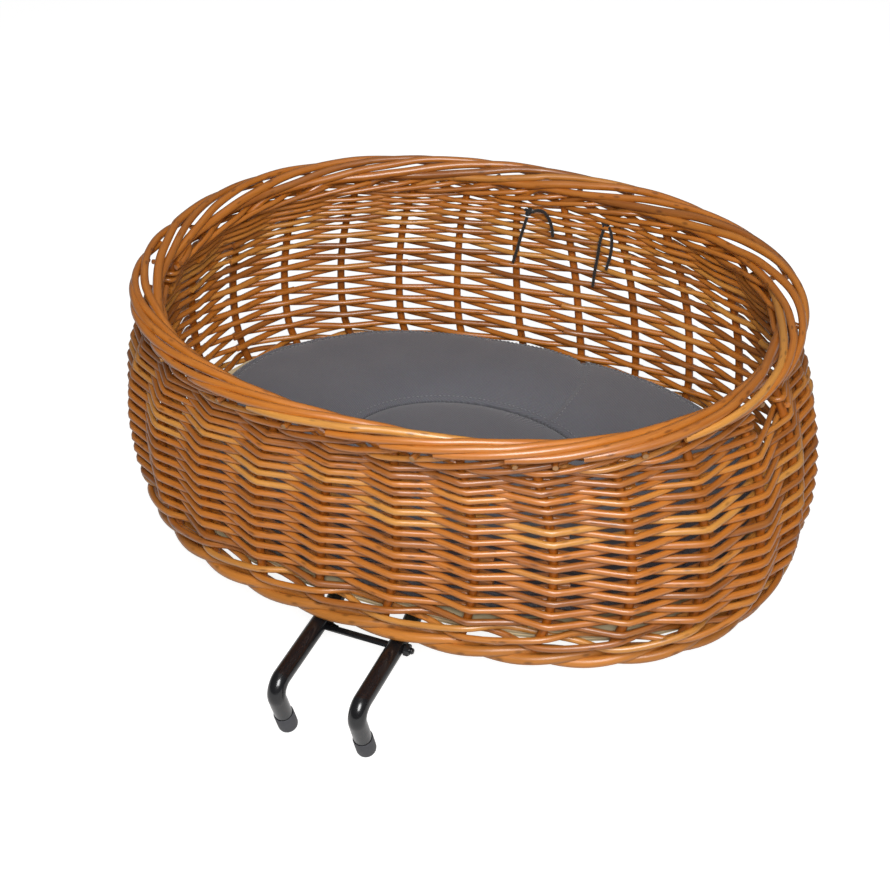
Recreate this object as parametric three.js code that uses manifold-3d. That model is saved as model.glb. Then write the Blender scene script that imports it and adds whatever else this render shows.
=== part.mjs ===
// A willow bicycle basket for a small pet: an oval randed wall on upright stakes, a plywood base,
// rolled borders, a grey cushion and a two-bar hook bracket that hangs over a handlebar.
// Millimetres, +Z up. Sizes are given from the basket's own centre, at the underside of its foot;
// the finished group is shifted so that its origin is the handlebar seat under the two hook bars.

import * as THREE from 'three';
import { mergeVertices } from 'three/addons/utils/BufferGeometryUtils.js';
import Module from 'manifold-3d';

const wasm = await Module();
wasm.setup();

// Outer face of the wall, at four heights above the foot
const footHalfLength = 284;
const footHalfWidth = 201;
const lowBellyHeight = 50;
const lowBellyHalfLength = 299;
const lowBellyHalfWidth = 199;
const highBellyHeight = 145;
const highBellyHalfLength = 289;
const highBellyHalfWidth = 212;
const rimHeight = 200;
const rimHalfLength = 263.5;
const rimHalfWidth = 215.5;

// Squareness of the ovals: 2 is an ellipse, more is squarer
const footSquareness = 2.4;
const lowBellySquareness = 2.45;
const highBellySquareness = 2.36;
const rimSquareness = 2.2;

// The rim stands higher at the two ends than at the middle of its long sides
const rimRise = 1.5;

// Heights of the woven layers and of the base, from the foot up
const footBorderHeight = 13;
const footBorderWidth = 17;
const footWaleHeight = 4.4;
const footWaleWidth = 17;
const boardThickness = 11;
const weaveHeight = 160.4;
const wallThickness = 13;
const topWaleHeight = 12;
const topWaleThickness = 12;
const borderWidth = 27.8;
const borderDepth = 18.6;
const borderTilt = THREE.MathUtils.degToRad(20);

// Randing, drawn in bands of a few rows that pass in front of and behind the stakes in turn
const bandCount = 10;
const bandThickness = 5;
const bandMeeting = 8;
const bandSlit = 0.3;

// Rods of the rolled border
const borderRods = 6;
const borderTurns = 3;
const borderGroove = 3;

// Upright stakes
const stakeCount = 28;
const stakeDiameter = 7.4;
const stakeLean = THREE.MathUtils.degToRad(5);

// Hand-holds under the border, one stake gap wide and one band high, on the bracket's side of both ends
const handHoldMargin = 3.5;

// Clearances
const seatGap = 0.3;
const stakeGap = 0.4;
const boreGap = 0.3;

// Cushion: a padded ring round a lower oval pad
const cushionRimGap = 3.3;
const cushionSideInset = 19;
const cushionSquareness = 2.25;
const cushionHeight = 24;
const padHalfLength = 114;
const padHalfWidth = 84;
const padHeight = 13;
const ringSeamX = 50;
const ringSeamDepth = 4;
const ringSeamWidth = 9;

// Hook bracket
const barDiameter = 14.5;
const barSpacing = 69;
const bracketOffset = -14;
const barInnerEnd = 70;
const riseInset = 28;
const riseLength = 42;
const handlebarSpace = 73;
const hookBendRadius = 11;
const hookLean = THREE.MathUtils.degToRad(16.5);
const hookLegLength = 41;
const capLength = 20;
const capWall = 0.7;
const capEnd = 2.6;

// Cross rod, its welded lug and its nut
const rodDiameter = 5.5;
const rodInset = 2;
const rodProud = 3;
const lugLength = 15;
const lugWidth = 10;
const lugThickness = 4;
const nutWidth = 9;
const nutThickness = 5;

// Clamp plates and their bolts under the board
const plateLength = 120;
const plateWidth = 25;
const plateThickness = 3;
const plateInset = 33;
const plateSpread = 140;
const boltSpacing = 100;
const boltDiameter = 6;
const boltHeadDiameter = 14;
const boltHeadThickness = 3;
const boltProud = 1.5;
const clampNutWidth = 10;
const clampNutThickness = 4;

// Tie cords on the inner face of the back wall, placed in stake gaps from the +X end
const tieDiameter = 3;
const knotRadius = 4.5;
const leftTieGap = 7.24;
const leftTieHeight = 182;
const rightTieGap = 5.69;
const rightTieHeight = 184;

// Facets
const barSides = 12;
const stakeSides = 6;
const borderSides = 8;
const cordSides = 8;
const facetsPerGap = 2;
const wallSteps = 5;
const bendSteps = 8;
const cordSteps = 9;

// Heights that follow from the stack
const footWaleBottom = footBorderHeight + seatGap;
const footWaleTop = footWaleBottom + footWaleHeight;
const boardBottom = footWaleTop + seatGap;
const boardTop = boardBottom + boardThickness;
const wallBottom = boardTop + seatGap;
const wallTop = wallBottom + weaveHeight;
const bandHeight = weaveHeight / bandCount;
const topWaleBottom = wallTop + seatGap;
const topWaleTop = topWaleBottom + topWaleHeight;
const borderBottom = topWaleTop + seatGap;
// The border's oval lies over to the inside, with its outer end the higher
const borderAlong = new THREE.Vector2(Math.cos(borderTilt), Math.sin(borderTilt));
const borderAcross = new THREE.Vector2(-borderAlong.y, borderAlong.x);
const borderHeight = Math.hypot(borderWidth * borderAlong.y, borderDepth * borderAcross.y);
const borderReach = Math.hypot(borderWidth * borderAlong.x, borderDepth * borderAcross.x) / 2;
const borderTop = borderBottom + borderHeight;
const stakeBottom = footBorderHeight + seatGap;
const stakeTop = borderBottom - seatGap;
const stakeRadius = stakeDiameter / 2;
const stakeInset = wallThickness / 2;
const bandReach = stakeRadius + 2 * stakeGap + bandThickness / 2;
const cushionBottom = boardTop + seatGap;
const cushionHalfLength = rimHalfLength - borderReach - cushionRimGap;
const cushionHalfWidth = Math.min(
  footHalfWidth - cushionSideInset, rimHalfWidth - borderReach - cushionRimGap,
);

// Places along the bracket, measured from the basket's centre towards the handlebar
const riseStart = footHalfWidth - riseInset;
const riseEnd = riseStart - riseLength;
const rodPlace = footHalfWidth - rodInset;
const hookReach = rodPlace + handlebarSpace;
const seatPlace = rodPlace + handlebarSpace / 2;
const frontPlatePlace = plateInset - riseEnd;
const backPlatePlace = frontPlatePlace + plateSpread;

// Materials
const finish = (color, roughness, metalness = 0) =>
  new THREE.MeshStandardMaterial({ color, roughness, metalness });
const lacqueredWillow = finish(0xc17a2e, 0.4);
const stakeWillow = finish(0xa8481a, 0.45);
const footWillow = finish(0xb0602c, 0.4);
const birchPlywood = finish(0xc9b48a, 0.6);
const greyCotton = finish(0x5a5a5e, 0.9);
const blackEnamel = finish(0x101011, 0.25, 0.3);
const greyPlastic = finish(0x48484c, 0.55);
const zincSteel = finish(0x9a9da0, 0.35, 0.9);
const darkCord = finish(0x2a211c, 0.8);

// The outline's half length, half width and squareness at a height
const outlineHeights = [0, lowBellyHeight, highBellyHeight, rimHeight];
const profile = (values) => {
  const curve = new THREE.CubicInterpolant(outlineHeights, values, 1, new Float32Array(1));
  return (height) => curve.evaluate(THREE.MathUtils.clamp(height, 0, rimHeight))[0];
};
const halfLengthAt = profile([footHalfLength, lowBellyHalfLength, highBellyHalfLength, rimHalfLength]);
const halfWidthAt = profile([footHalfWidth, lowBellyHalfWidth, highBellyHalfWidth, rimHalfWidth]);
const squarenessAt = profile([footSquareness, lowBellySquareness, highBellySquareness, rimSquareness]);

// A point of a squared oval, moved inwards along its normal
function ovalPoint(angle, halfLength, halfWidth, squareness, inset = 0) {
  const c = Math.cos(angle);
  const s = Math.sin(angle);
  const x = halfLength * Math.sign(c) * Math.abs(c) ** (2 / squareness);
  const y = halfWidth * Math.sign(s) * Math.abs(s) ** (2 / squareness);
  const normal = new THREE.Vector2(
    Math.sign(x) * Math.abs(x / halfLength) ** (squareness - 1) / halfLength,
    Math.sign(y) * Math.abs(y / halfWidth) ** (squareness - 1) / halfWidth,
  ).normalize();
  return new THREE.Vector2(x, y).addScaledVector(normal, -inset);
}

// How much a layer at this height is lifted by the rim's rise
function lift(angle, height) {
  const share = Math.max(0, (height - boardTop) / (borderTop - boardTop));
  return rimRise * share * Math.cos(2 * angle);
}

// A point of the basket: along the wall, up, inwards from the outline taken at outlineHeight
function wallPoint(angle, height, inset, outlineHeight = height) {
  const flat = ovalPoint(
    angle, halfLengthAt(outlineHeight), halfWidthAt(outlineHeight), squarenessAt(outlineHeight), inset,
  );
  return new THREE.Vector3(flat.x, flat.y, height + lift(angle, height));
}

// Angles at equal steps of length along the belly, counted from the +X end
const arcSamples = 1440;
const arcTable = [0];
for (let k = 1; k <= arcSamples; k += 1) {
  const from = wallPoint((k - 1) * 2 * Math.PI / arcSamples, highBellyHeight, stakeInset);
  const to = wallPoint(k * 2 * Math.PI / arcSamples, highBellyHeight, stakeInset);
  arcTable.push(arcTable[k - 1] + Math.hypot(to.x - from.x, to.y - from.y));
}
const perimeter = arcTable[arcSamples];
const stakePitch = perimeter / stakeCount;
function angleAt(length) {
  const turns = Math.floor(length / perimeter);
  const rest = length - turns * perimeter;
  const k = Math.min(arcSamples - 1, arcTable.findIndex((total) => total > rest) - 1);
  const share = (rest - arcTable[k]) / (arcTable[k + 1] - arcTable[k]);
  return (turns + (k + share) / arcSamples) * 2 * Math.PI;
}
const fullTurn = Array.from(
  { length: stakeCount * facetsPerGap }, (_, k) => angleAt(k * stakePitch / facetsPerGap),
);

// The angle at a length along the wall, carried with the lean of the stakes
const leaning = (along, height) =>
  angleAt(along) + stakeLean * (height - highBellyHeight) / borderTop;

// A closed solid from points and triangles, turned so that its faces point outwards
function solid(points, triangles) {
  let volume = 0;
  for (const [a, b, c] of triangles) {
    volume += points[a].dot(new THREE.Vector3().crossVectors(points[b], points[c]));
  }
  const order = volume > 0 ? triangles : triangles.map(([a, b, c]) => [a, c, b]);
  const geometry = new THREE.BufferGeometry().setFromPoints(points);
  geometry.setIndex(order.flat());
  return geometry;
}

// Sections joined one after the next, either into a ring or with a lid on each end
function loft(sections, isRing = false) {
  const count = sections[0].length;
  const points = sections.flat();
  const triangles = [];
  const last = isRing ? sections.length : sections.length - 1;
  for (let i = 0; i < last; i += 1) {
    const here = i * count;
    const next = ((i + 1) % sections.length) * count;
    for (let j = 0; j < count; j += 1) {
      const k = (j + 1) % count;
      triangles.push([here + j, here + k, next + k], [here + j, next + k, next + j]);
    }
  }
  if (!isRing) {
    const end = (sections.length - 1) * count;
    for (let j = 1; j < count - 1; j += 1) {
      triangles.push([0, j + 1, j], [end, end + j, end + j + 1]);
    }
  }
  return solid(points, triangles);
}

// Joins and cuts between closed solids
function toManifold(geometry) {
  const plain = geometry.clone();
  plain.deleteAttribute('normal');
  plain.deleteAttribute('uv');
  const merged = mergeVertices(plain);
  return new wasm.Manifold(new wasm.Mesh({
    numProp: 3,
    vertProperties: new Float32Array(merged.attributes.position.array),
    triVerts: new Uint32Array(merged.index.array),
  }));
}
function fromManifold(body) {
  const mesh = body.getMesh();
  const geometry = new THREE.BufferGeometry();
  geometry.setAttribute('position', new THREE.BufferAttribute(new Float32Array(mesh.vertProperties), 3));
  geometry.setIndex(new THREE.BufferAttribute(new Uint32Array(mesh.triVerts), 1));
  return geometry;
}
const cut = (geometry, tools) =>
  fromManifold(tools.reduce((body, tool) => body.subtract(toManifold(tool)), toManifold(geometry)));
const join = (geometry, other) => fromManifold(toManifold(geometry).add(toManifold(other)));

const part = new THREE.Group();
function addPiece(name, geometry, material) {
  const mesh = new THREE.Mesh(geometry, material);
  mesh.name = name;
  part.add(mesh);
  return mesh;
}

// Stakes: six-sided rods that follow the wall's curve, and the bores that they stand in
const stepHeight = weaveHeight / wallSteps;
const wallHeights = Array.from({ length: wallSteps + 1 }, (_, k) => wallBottom + k * stepHeight);
const stakeHeights = [stakeBottom, ...wallHeights, stakeTop];
const stakeArc = (index) => (index + 0.5) * stakePitch;
function stakeCentre(index, height) {
  const angle = leaning(stakeArc(index), height);
  return { angle, point: wallPoint(angle, height, stakeInset) };
}
function stakeSection(index, height, radius) {
  const { angle, point } = stakeCentre(index, height);
  const outward = wallPoint(angle, height, 0).sub(point).setZ(0).normalize();
  const along = new THREE.Vector3(-outward.y, outward.x, 0);
  const slope = wallPoint(angle, height + 1, stakeInset).sub(point).dot(outward);
  const section = [];
  for (let j = 0; j < stakeSides; j += 1) {
    const turn = (j + 0.5) * 2 * Math.PI / stakeSides;
    section.push(point.clone()
      .addScaledVector(outward, radius * Math.hypot(1, slope) * Math.cos(turn))
      .addScaledVector(along, radius * Math.sin(turn)));
  }
  return section;
}
const stakeRod = (index, radius, heights) =>
  loft(heights.map((height) => stakeSection(index, height, radius)));
const boreHeights = [footWaleBottom - footBorderHeight, ...stakeHeights, stakeTop + borderHeight];
const stakeBores = [];
for (let index = 0; index < stakeCount; index += 1) {
  const name = `stake_${String(index + 1).padStart(2, '0')}`;
  addPiece(name, stakeRod(index, stakeRadius, stakeHeights), stakeWillow);
  stakeBores.push(stakeRod(index, stakeRadius + stakeGap, boreHeights));
}

// A woven layer: its section, given as inset and height pairs, carried round the basket
function layer(section, angles, isRing, outlineHeight) {
  const place = (angle) => section.map(([inset, height]) => wallPoint(angle, height, inset, outlineHeight));
  return loft(angles.map(place), isRing);
}
const rectangle = (outer, inner, bottom, top) =>
  [[outer, bottom], [outer, top], [inner, top], [inner, bottom]];
function roundedSection(width, height, bottom, centreInset) {
  const section = [];
  const corner = 0.5 / Math.cos(Math.PI / borderSides);
  for (let j = 0; j < borderSides; j += 1) {
    const turn = (j + 0.5) * 2 * Math.PI / borderSides;
    section.push([
      centreInset - width * corner * Math.cos(turn),
      bottom + height * (0.5 + corner * Math.sin(turn)),
    ]);
  }
  return section;
}
const stretch = (from, to) => {
  const steps = Math.round((to - from) / stakePitch * facetsPerGap);
  return Array.from({ length: steps + 1 }, (_, k) => angleAt(from + (to - from) * k / steps));
};

// Foot border and the wale above it, which carries the board
const footSection = roundedSection(footBorderWidth, footBorderHeight, 0, footBorderWidth / 2);
addPiece('foot_border', layer(footSection, fullTurn, true, 0), footWillow);
const footWale = layer(rectangle(0, footWaleWidth, footWaleBottom, footWaleTop), fullTurn, true);
addPiece('foot_wale', cut(footWale, stakeBores), lacqueredWillow);

// Hand-holds: the gaps next to the two ends, on the bracket's side
const holdEdge = stakeRadius + handHoldMargin;
const leftStake = Math.floor(stakeCount / 2);
const leftHold = [stakeArc(leftStake) + holdEdge, stakeArc(leftStake + 1) - holdEdge];
const rightHold = [stakeArc(stakeCount - 2) + holdEdge, stakeArc(stakeCount - 1) - holdEdge];
const holdBottom = wallTop - bandHeight;
const holdSection = rectangle(-wallThickness, 2 * wallThickness, holdBottom, borderTop);
const holdTool = ([from, to]) => layer(holdSection, stretch(from, to), false);

// A point of the randing, on the straight lengths that the stakes are made of
function besideStakes(along, height, inset) {
  const step = THREE.MathUtils.clamp(Math.floor((height - wallBottom) / stepHeight), 0, wallSteps - 1);
  const low = wallHeights[step];
  const high = wallHeights[step + 1];
  const foot = wallPoint(leaning(along, low), low, inset);
  return foot.lerp(wallPoint(leaning(along, high), high, inset), (height - low) / stepHeight);
}

// Randed wall: each band swings out in front of one stake and in behind the next. Midway between
// stakes it meets the bands above and below it, and from there thin slits open towards the stakes
const bandSide = (band, stake) => ((stake + band) % 2 === 0 ? 1 : -1);
const bandStops = Array.from({ length: stakeCount }, (_, stake) => [
  { along: stakeArc(stake), stake },
  { along: stakeArc(stake + 0.5) - bandMeeting / 2 },
  { along: stakeArc(stake + 0.5) + bandMeeting / 2 },
]).flat();
function bandWall() {
  const points = [];
  const triangles = [];
  const quad = (a, b, c, d) => triangles.push([a, b, c], [a, c, d]);
  for (let band = 0; band < bandCount; band += 1) {
    const isFirst = band === 0;
    const isLast = band === bandCount - 1;
    const start = points.length;
    for (const { along, stake } of bandStops) {
      const atStake = stake !== undefined;
      const middle = stakeInset - (atStake ? bandSide(band, stake) * bandReach : 0);
      const bottom = wallBottom + band * bandHeight + (atStake && !isFirst ? bandSlit : 0);
      const top = wallBottom + (band + 1) * bandHeight - (atStake && !isLast ? bandSlit : 0);
      const section = rectangle(middle - bandThickness / 2, middle + bandThickness / 2, bottom, top);
      points.push(...section.map(([inset, height]) => besideStakes(along, height, inset)));
    }
    bandStops.forEach(({ stake }, k) => {
      const following = (k + 1) % bandStops.length;
      const [a, b, c, d] = [0, 1, 2, 3].map((corner) => start + 4 * k + corner);
      const [e, f, g, h] = [0, 1, 2, 3].map((corner) => start + 4 * following + corner);
      const meets = stake === undefined && bandStops[following].stake === undefined;
      quad(a, e, f, b);
      quad(c, g, h, d);
      if (isLast || !meets) quad(b, f, g, c);
      if (isFirst || !meets) quad(d, h, e, a);
    });
  }
  return solid(points, triangles);
}
addPiece('wall_weave', cut(bandWall(), [holdTool(leftHold), holdTool(rightHold)]), lacqueredWillow);

// Top wale in two lengths, front and back, between the hand-holds
const topWaleInset = (wallThickness - topWaleThickness) / 2;
const topWaleSection = rectangle(topWaleInset, topWaleInset + topWaleThickness, topWaleBottom, topWaleTop);
const topWale = (from, to) => cut(layer(topWaleSection, stretch(from, to), false), stakeBores);
addPiece('top_wale_front', topWale(leftHold[1], rightHold[0]), lacqueredWillow);
addPiece('top_wale_back', topWale(rightHold[1], leftHold[0] + perimeter), lacqueredWillow);

// Rolled top border: rods that wind from the inside over the top to the outside
const borderSections = fullTurn.map((angle, k) => {
  const wound = borderTurns * 2 * Math.PI * k / fullTurn.length;
  return Array.from({ length: 2 * borderRods }, (_, j) => {
    const turn = j * Math.PI / borderRods + wound;
    const groove = j % 2 === 0 ? 0 : borderGroove;
    const place = borderAlong.clone().multiplyScalar((borderWidth / 2 - groove) * Math.cos(turn));
    place.addScaledVector(borderAcross, (borderDepth / 2 - groove) * Math.sin(turn));
    return wallPoint(angle, borderBottom + borderHeight / 2 + place.y, -place.x, rimHeight);
  });
});
addPiece('top_border', loft(borderSections, true), lacqueredWillow);

// Plywood base board inside the ring of stakes, bored and counterbored for the clamp bolts
const boardInset = Math.max(wallThickness, stakeInset + stakeDiameter * 0.7) + seatGap;
const boardOutline = new THREE.Shape(fullTurn.map((angle) => {
  const low = wallPoint(angle, boardBottom, boardInset);
  const high = wallPoint(angle, boardTop, boardInset);
  const point = Math.hypot(low.x, low.y) < Math.hypot(high.x, high.y) ? low : high;
  return new THREE.Vector2(point.x, point.y);
}));
const board = new THREE.ExtrudeGeometry(boardOutline, { depth: boardThickness, bevelEnabled: false });
board.translate(0, 0, boardBottom);
const upright = (radius, bottom, top, x, y, sides = barSides) =>
  new THREE.CylinderGeometry(radius, radius, top - bottom, sides)
    .rotateX(Math.PI / 2)
    .translate(x, y, (bottom + top) / 2);
const boltPlaces = [];
for (const [row, y] of [['front', frontPlatePlace], ['back', backPlatePlace]]) {
  for (const [side, turn] of [['left', -1], ['right', 1]]) {
    boltPlaces.push({ name: `${row}_${side}`, x: bracketOffset + turn * boltSpacing / 2, y });
  }
}
const boltRadius = boltDiameter / 2;
const headRadius = boltHeadDiameter / 2;
const headBottom = boardTop - seatGap - boltHeadThickness;
const boltBores = boltPlaces.flatMap(({ x, y }) => [
  upright(boltRadius + boreGap, boardBottom - boardThickness, boardTop + boardThickness, x, y),
  upright(headRadius + boreGap, headBottom - seatGap, boardTop + boardThickness, x, y),
]);
addPiece('base_board', cut(board, boltBores), birchPlywood);

// Cushion: every point lies between the outer outline and the pad's outline
const padSquareness = 2;
const cushionEdge = (angle) => ovalPoint(angle, cushionHalfLength, cushionHalfWidth, cushionSquareness);
const padEdge = (angle) => ovalPoint(angle, padHalfLength, padHalfWidth, padSquareness);
const seamAngle = Math.acos(ringSeamX / padHalfLength);
const seamStep = ringSeamWidth / 2 / padHalfLength;
const cushionAngles = Array.from({ length: 44 }, (_, k) => k * 2 * Math.PI / 44)
  .filter((angle) => Math.abs(angle - seamAngle) > 3 * seamStep);
for (let k = -2; k <= 2; k += 1) cushionAngles.push(seamAngle + k * seamStep);
cushionAngles.sort((a, b) => a - b);

// The ring's section: share of the way in to the pad's seam, and share of its height
const ringProfile = [
  [0.03, 0], [0, 0.3], [0.02, 0.62], [0.1, 0.88], [0.3, 1],
  [0.55, 0.97], [0.8, 0.78], [0.98, 0.45], [0.998, 0.25], [0.98, 0],
];
const ringSections = cushionAngles.map((angle) => {
  const dip = ringSeamDepth * Math.exp(-(((angle - seamAngle) / seamStep) ** 2));
  const outer = cushionEdge(angle);
  const inner = padEdge(angle);
  return ringProfile.map(([inwards, up]) => {
    const flat = outer.clone().lerp(inner, inwards);
    return new THREE.Vector3(flat.x, flat.y, cushionBottom + up * (cushionHeight - dip));
  });
});
addPiece('cushion_ring', loft(ringSections, true), greyCotton);

// The pad: a crowned oval whose side is drawn in at the seam
const padProfile = [[0.97, 0], [0.994, 0.3], [0.96, 0.6], [0.8, 0.82], [0.5, 0.95], [0.2, 1]];
const padSections = padProfile.map(([out, up]) => cushionAngles.map((angle) => {
  const flat = padEdge(angle).multiplyScalar(out);
  return new THREE.Vector3(flat.x, flat.y, cushionBottom + up * padHeight);
}));
addPiece('cushion_pad', loft(padSections), greyCotton);

// A round bar along a path in a plane of constant x: faceted so that one facet faces straight down
function barAlong(path, radius, x) {
  const sections = path.map((point, k) => {
    const ahead = path[Math.min(k + 1, path.length - 1)];
    const behind = path[Math.max(k - 1, 0)];
    const along = ahead.clone().sub(behind).normalize();
    const section = [];
    for (let j = 0; j < barSides; j += 1) {
      const turn = (j + 0.5) * 2 * Math.PI / barSides;
      section.push(new THREE.Vector3(
        x + radius * Math.cos(turn),
        point.x - radius * Math.sin(turn) * along.y,
        point.y + radius * Math.sin(turn) * along.x,
      ));
    }
    return section;
  });
  return loft(sections);
}

// Hook bars: under the board, down past the foot, out, and over the handlebar; points are y, z
const barRadius = barDiameter / 2;
const facetReach = barRadius * Math.cos(Math.PI / barSides);
const barTopAxis = boardBottom - seatGap - facetReach;
const barAxis = -seatGap - facetReach;
const barPath = [new THREE.Vector2(barInnerEnd, barTopAxis)];
for (let k = 0; k <= bendSteps; k += 1) {
  const y = -THREE.MathUtils.lerp(riseEnd, riseStart, k / bendSteps);
  const fall = THREE.MathUtils.smoothstep(k / bendSteps, 0, 1);
  barPath.push(new THREE.Vector2(y, THREE.MathUtils.lerp(barTopAxis, barAxis, fall)));
}
const bendTurn = Math.PI / 2 + hookLean;
for (let k = 0; k <= bendSteps; k += 1) {
  const turn = bendTurn * k / bendSteps;
  barPath.push(new THREE.Vector2(
    -(hookReach - hookBendRadius) - hookBendRadius * Math.sin(turn),
    barAxis - hookBendRadius + hookBendRadius * Math.cos(turn),
  ));
}
const legDirection = new THREE.Vector2(Math.sin(hookLean), -Math.cos(hookLean));
const legTip = barPath.at(-1).clone().addScaledVector(legDirection, hookLegLength);
barPath.push(legTip);
const leftBarX = bracketOffset - barSpacing / 2;
const rightBarX = bracketOffset + barSpacing / 2;

// Lug welded to the left bar, with a concave edge towards the basket
const rodRadius = rodDiameter / 2;
const lugRoot = leftBarX + barRadius / 2;
const lugTip = leftBarX + barRadius + lugWidth;
const lugFront = -rodPlace + rodRadius + seatGap;
const lugShape = new THREE.Shape();
lugShape.moveTo(lugRoot, lugFront);
lugShape.lineTo(lugTip, lugFront);
lugShape.quadraticCurveTo(leftBarX + barRadius, lugFront, leftBarX + barRadius, lugFront + lugLength);
lugShape.lineTo(lugRoot, lugFront + lugLength);
const lugSweep = { depth: lugThickness, bevelEnabled: false, curveSegments: 5 };
const lug = new THREE.ExtrudeGeometry(lugShape, lugSweep);
lug.translate(0, 0, barAxis - lugThickness / 2);
addPiece('hook_bar_left', join(barAlong(barPath, barRadius, leftBarX), lug), blackEnamel);

// Cross rod, through a bore in the right bar
const sideways = (radius, from, to, sides = barSides) =>
  new THREE.CylinderGeometry(radius, radius, to - from, sides)
    .rotateZ(Math.PI / 2)
    .translate((from + to) / 2, -rodPlace, barAxis);
const rodBore = sideways(rodRadius + boreGap, rightBarX - barDiameter, rightBarX + barDiameter);
addPiece('hook_bar_right', cut(barAlong(barPath, barRadius, rightBarX), [rodBore]), blackEnamel);
const nutFace = rightBarX + facetReach + seatGap;
const rodStart = leftBarX + facetReach + seatGap;
addPiece('cross_rod', sideways(rodRadius, rodStart, nutFace + nutThickness + rodProud), blackEnamel);

// A hexagon nut lying flat, bored for its bolt
function hexNut(width, thickness, bore) {
  const shape = new THREE.Shape();
  for (let j = 0; j < 6; j += 1) {
    const turn = j * Math.PI / 3;
    const corner = new THREE.Vector2(Math.cos(turn), Math.sin(turn)).multiplyScalar(width / Math.sqrt(3));
    if (j === 0) shape.moveTo(corner.x, corner.y);
    else shape.lineTo(corner.x, corner.y);
  }
  const hole = new THREE.Path();
  hole.setFromPoints(new THREE.EllipseCurve(0, 0, bore, bore).getPoints(barSides).slice(0, -1));
  shape.holes.push(hole);
  return new THREE.ExtrudeGeometry(shape, { depth: thickness, bevelEnabled: false });
}
const lockNut = addPiece('lock_nut', hexNut(nutWidth, nutThickness, rodRadius + boreGap), blackEnamel);
lockNut.rotation.y = Math.PI / 2;
lockNut.position.set(nutFace, -rodPlace, barAxis);

// End caps: plastic cups pushed over the tips of the hooks
const capOuter = barRadius + boreGap + capWall;
const capInner = barRadius + boreGap;
const capProfile = [
  [0, 0], [capOuter - capWall, 0], [capOuter, capWall], [capOuter, capLength],
  [capInner, capLength], [capInner, capEnd], [0, capEnd],
].map(([r, h]) => new THREE.Vector2(r, h));
const capBottom = legTip.clone().addScaledVector(legDirection, capEnd + seatGap);
for (const [side, x] of [['left', leftBarX], ['right', rightBarX]]) {
  const cap = addPiece(`end_cap_${side}`, new THREE.LatheGeometry(capProfile, barSides), greyPlastic);
  cap.quaternion.setFromUnitVectors(
    new THREE.Vector3(0, 1, 0), new THREE.Vector3(0, -legDirection.x, -legDirection.y),
  );
  cap.position.set(x, capBottom.x, capBottom.y);
}

// Clamp plates hold the bars up against the board
const plateTop = barTopAxis - facetReach - seatGap;
const plateBottom = plateTop - plateThickness;
for (const [row, y] of [['front', frontPlatePlace], ['back', backPlatePlace]]) {
  const plate = new THREE.BoxGeometry(plateLength, plateWidth, plateThickness)
    .translate(bracketOffset, y, plateTop - plateThickness / 2);
  const bores = boltPlaces.filter((place) => place.y === y).map((place) =>
    upright(boltRadius + boreGap, plateBottom - plateThickness, plateTop + plateThickness, place.x, y));
  addPiece(`clamp_plate_${row}`, cut(plate, bores), blackEnamel);
}

// Clamp bolts and nuts
const clampNutTop = plateBottom - seatGap;
const boltEnd = clampNutTop - clampNutThickness - boltProud;
const headTop = headBottom + boltHeadThickness;
const boltProfile = [
  [0, boltEnd], [boltRadius, boltEnd], [boltRadius, headBottom], [headRadius, headBottom],
  [headRadius, (headBottom + headTop) / 2], [headRadius * 0.8, headTop], [0, headTop],
].map(([r, h]) => new THREE.Vector2(r, h));
for (const { name, x, y } of boltPlaces) {
  const bolt = addPiece(`clamp_bolt_${name}`, new THREE.LatheGeometry(boltProfile, barSides), zincSteel);
  bolt.rotation.x = Math.PI / 2;
  bolt.position.set(x, y, 0);
  const nutShape = hexNut(clampNutWidth, clampNutThickness, boltRadius + boreGap);
  const nut = addPiece(`clamp_nut_${name}`, nutShape, zincSteel);
  nut.position.set(x, y, clampNutTop - clampNutThickness);
}

// Tie cords: a knot against the wall and two free tails; tail points are steps from the knot's centre
const ties = [
  {
    side: 'left', along: leftTieGap * stakePitch, height: leftTieHeight,
    tails: {
      hanging: [[-0.4, -1.5, -5], [-1.5, -6.5, -12], [-4, -9, -24], [-7, -10.5, -38], [-10, -12, -50]],
      arched: [[4.9, -2, 1.5], [10, -4, 5], [17, -5.5, 5.5], [23, -6, -1], [26, -6, -10], [27, -6, -18]],
    },
  },
  {
    side: 'right', along: rightTieGap * stakePitch, height: rightTieHeight,
    tails: {
      hanging: [[-1, -2, -5], [-2, -8, -14], [-3, -10, -30], [-4.5, -11.5, -46], [-5, -13, -60]],
      arched: [[4.8, -3, -1], [8.5, -8, -6], [10, -10.5, -16], [9, -11, -28], [6.5, -12, -40]],
    },
  },
];
const cordSection = new THREE.Shape(
  new THREE.EllipseCurve(0, 0, tieDiameter / 2, tieDiameter / 2).getPoints(cordSides).slice(0, -1),
);
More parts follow.
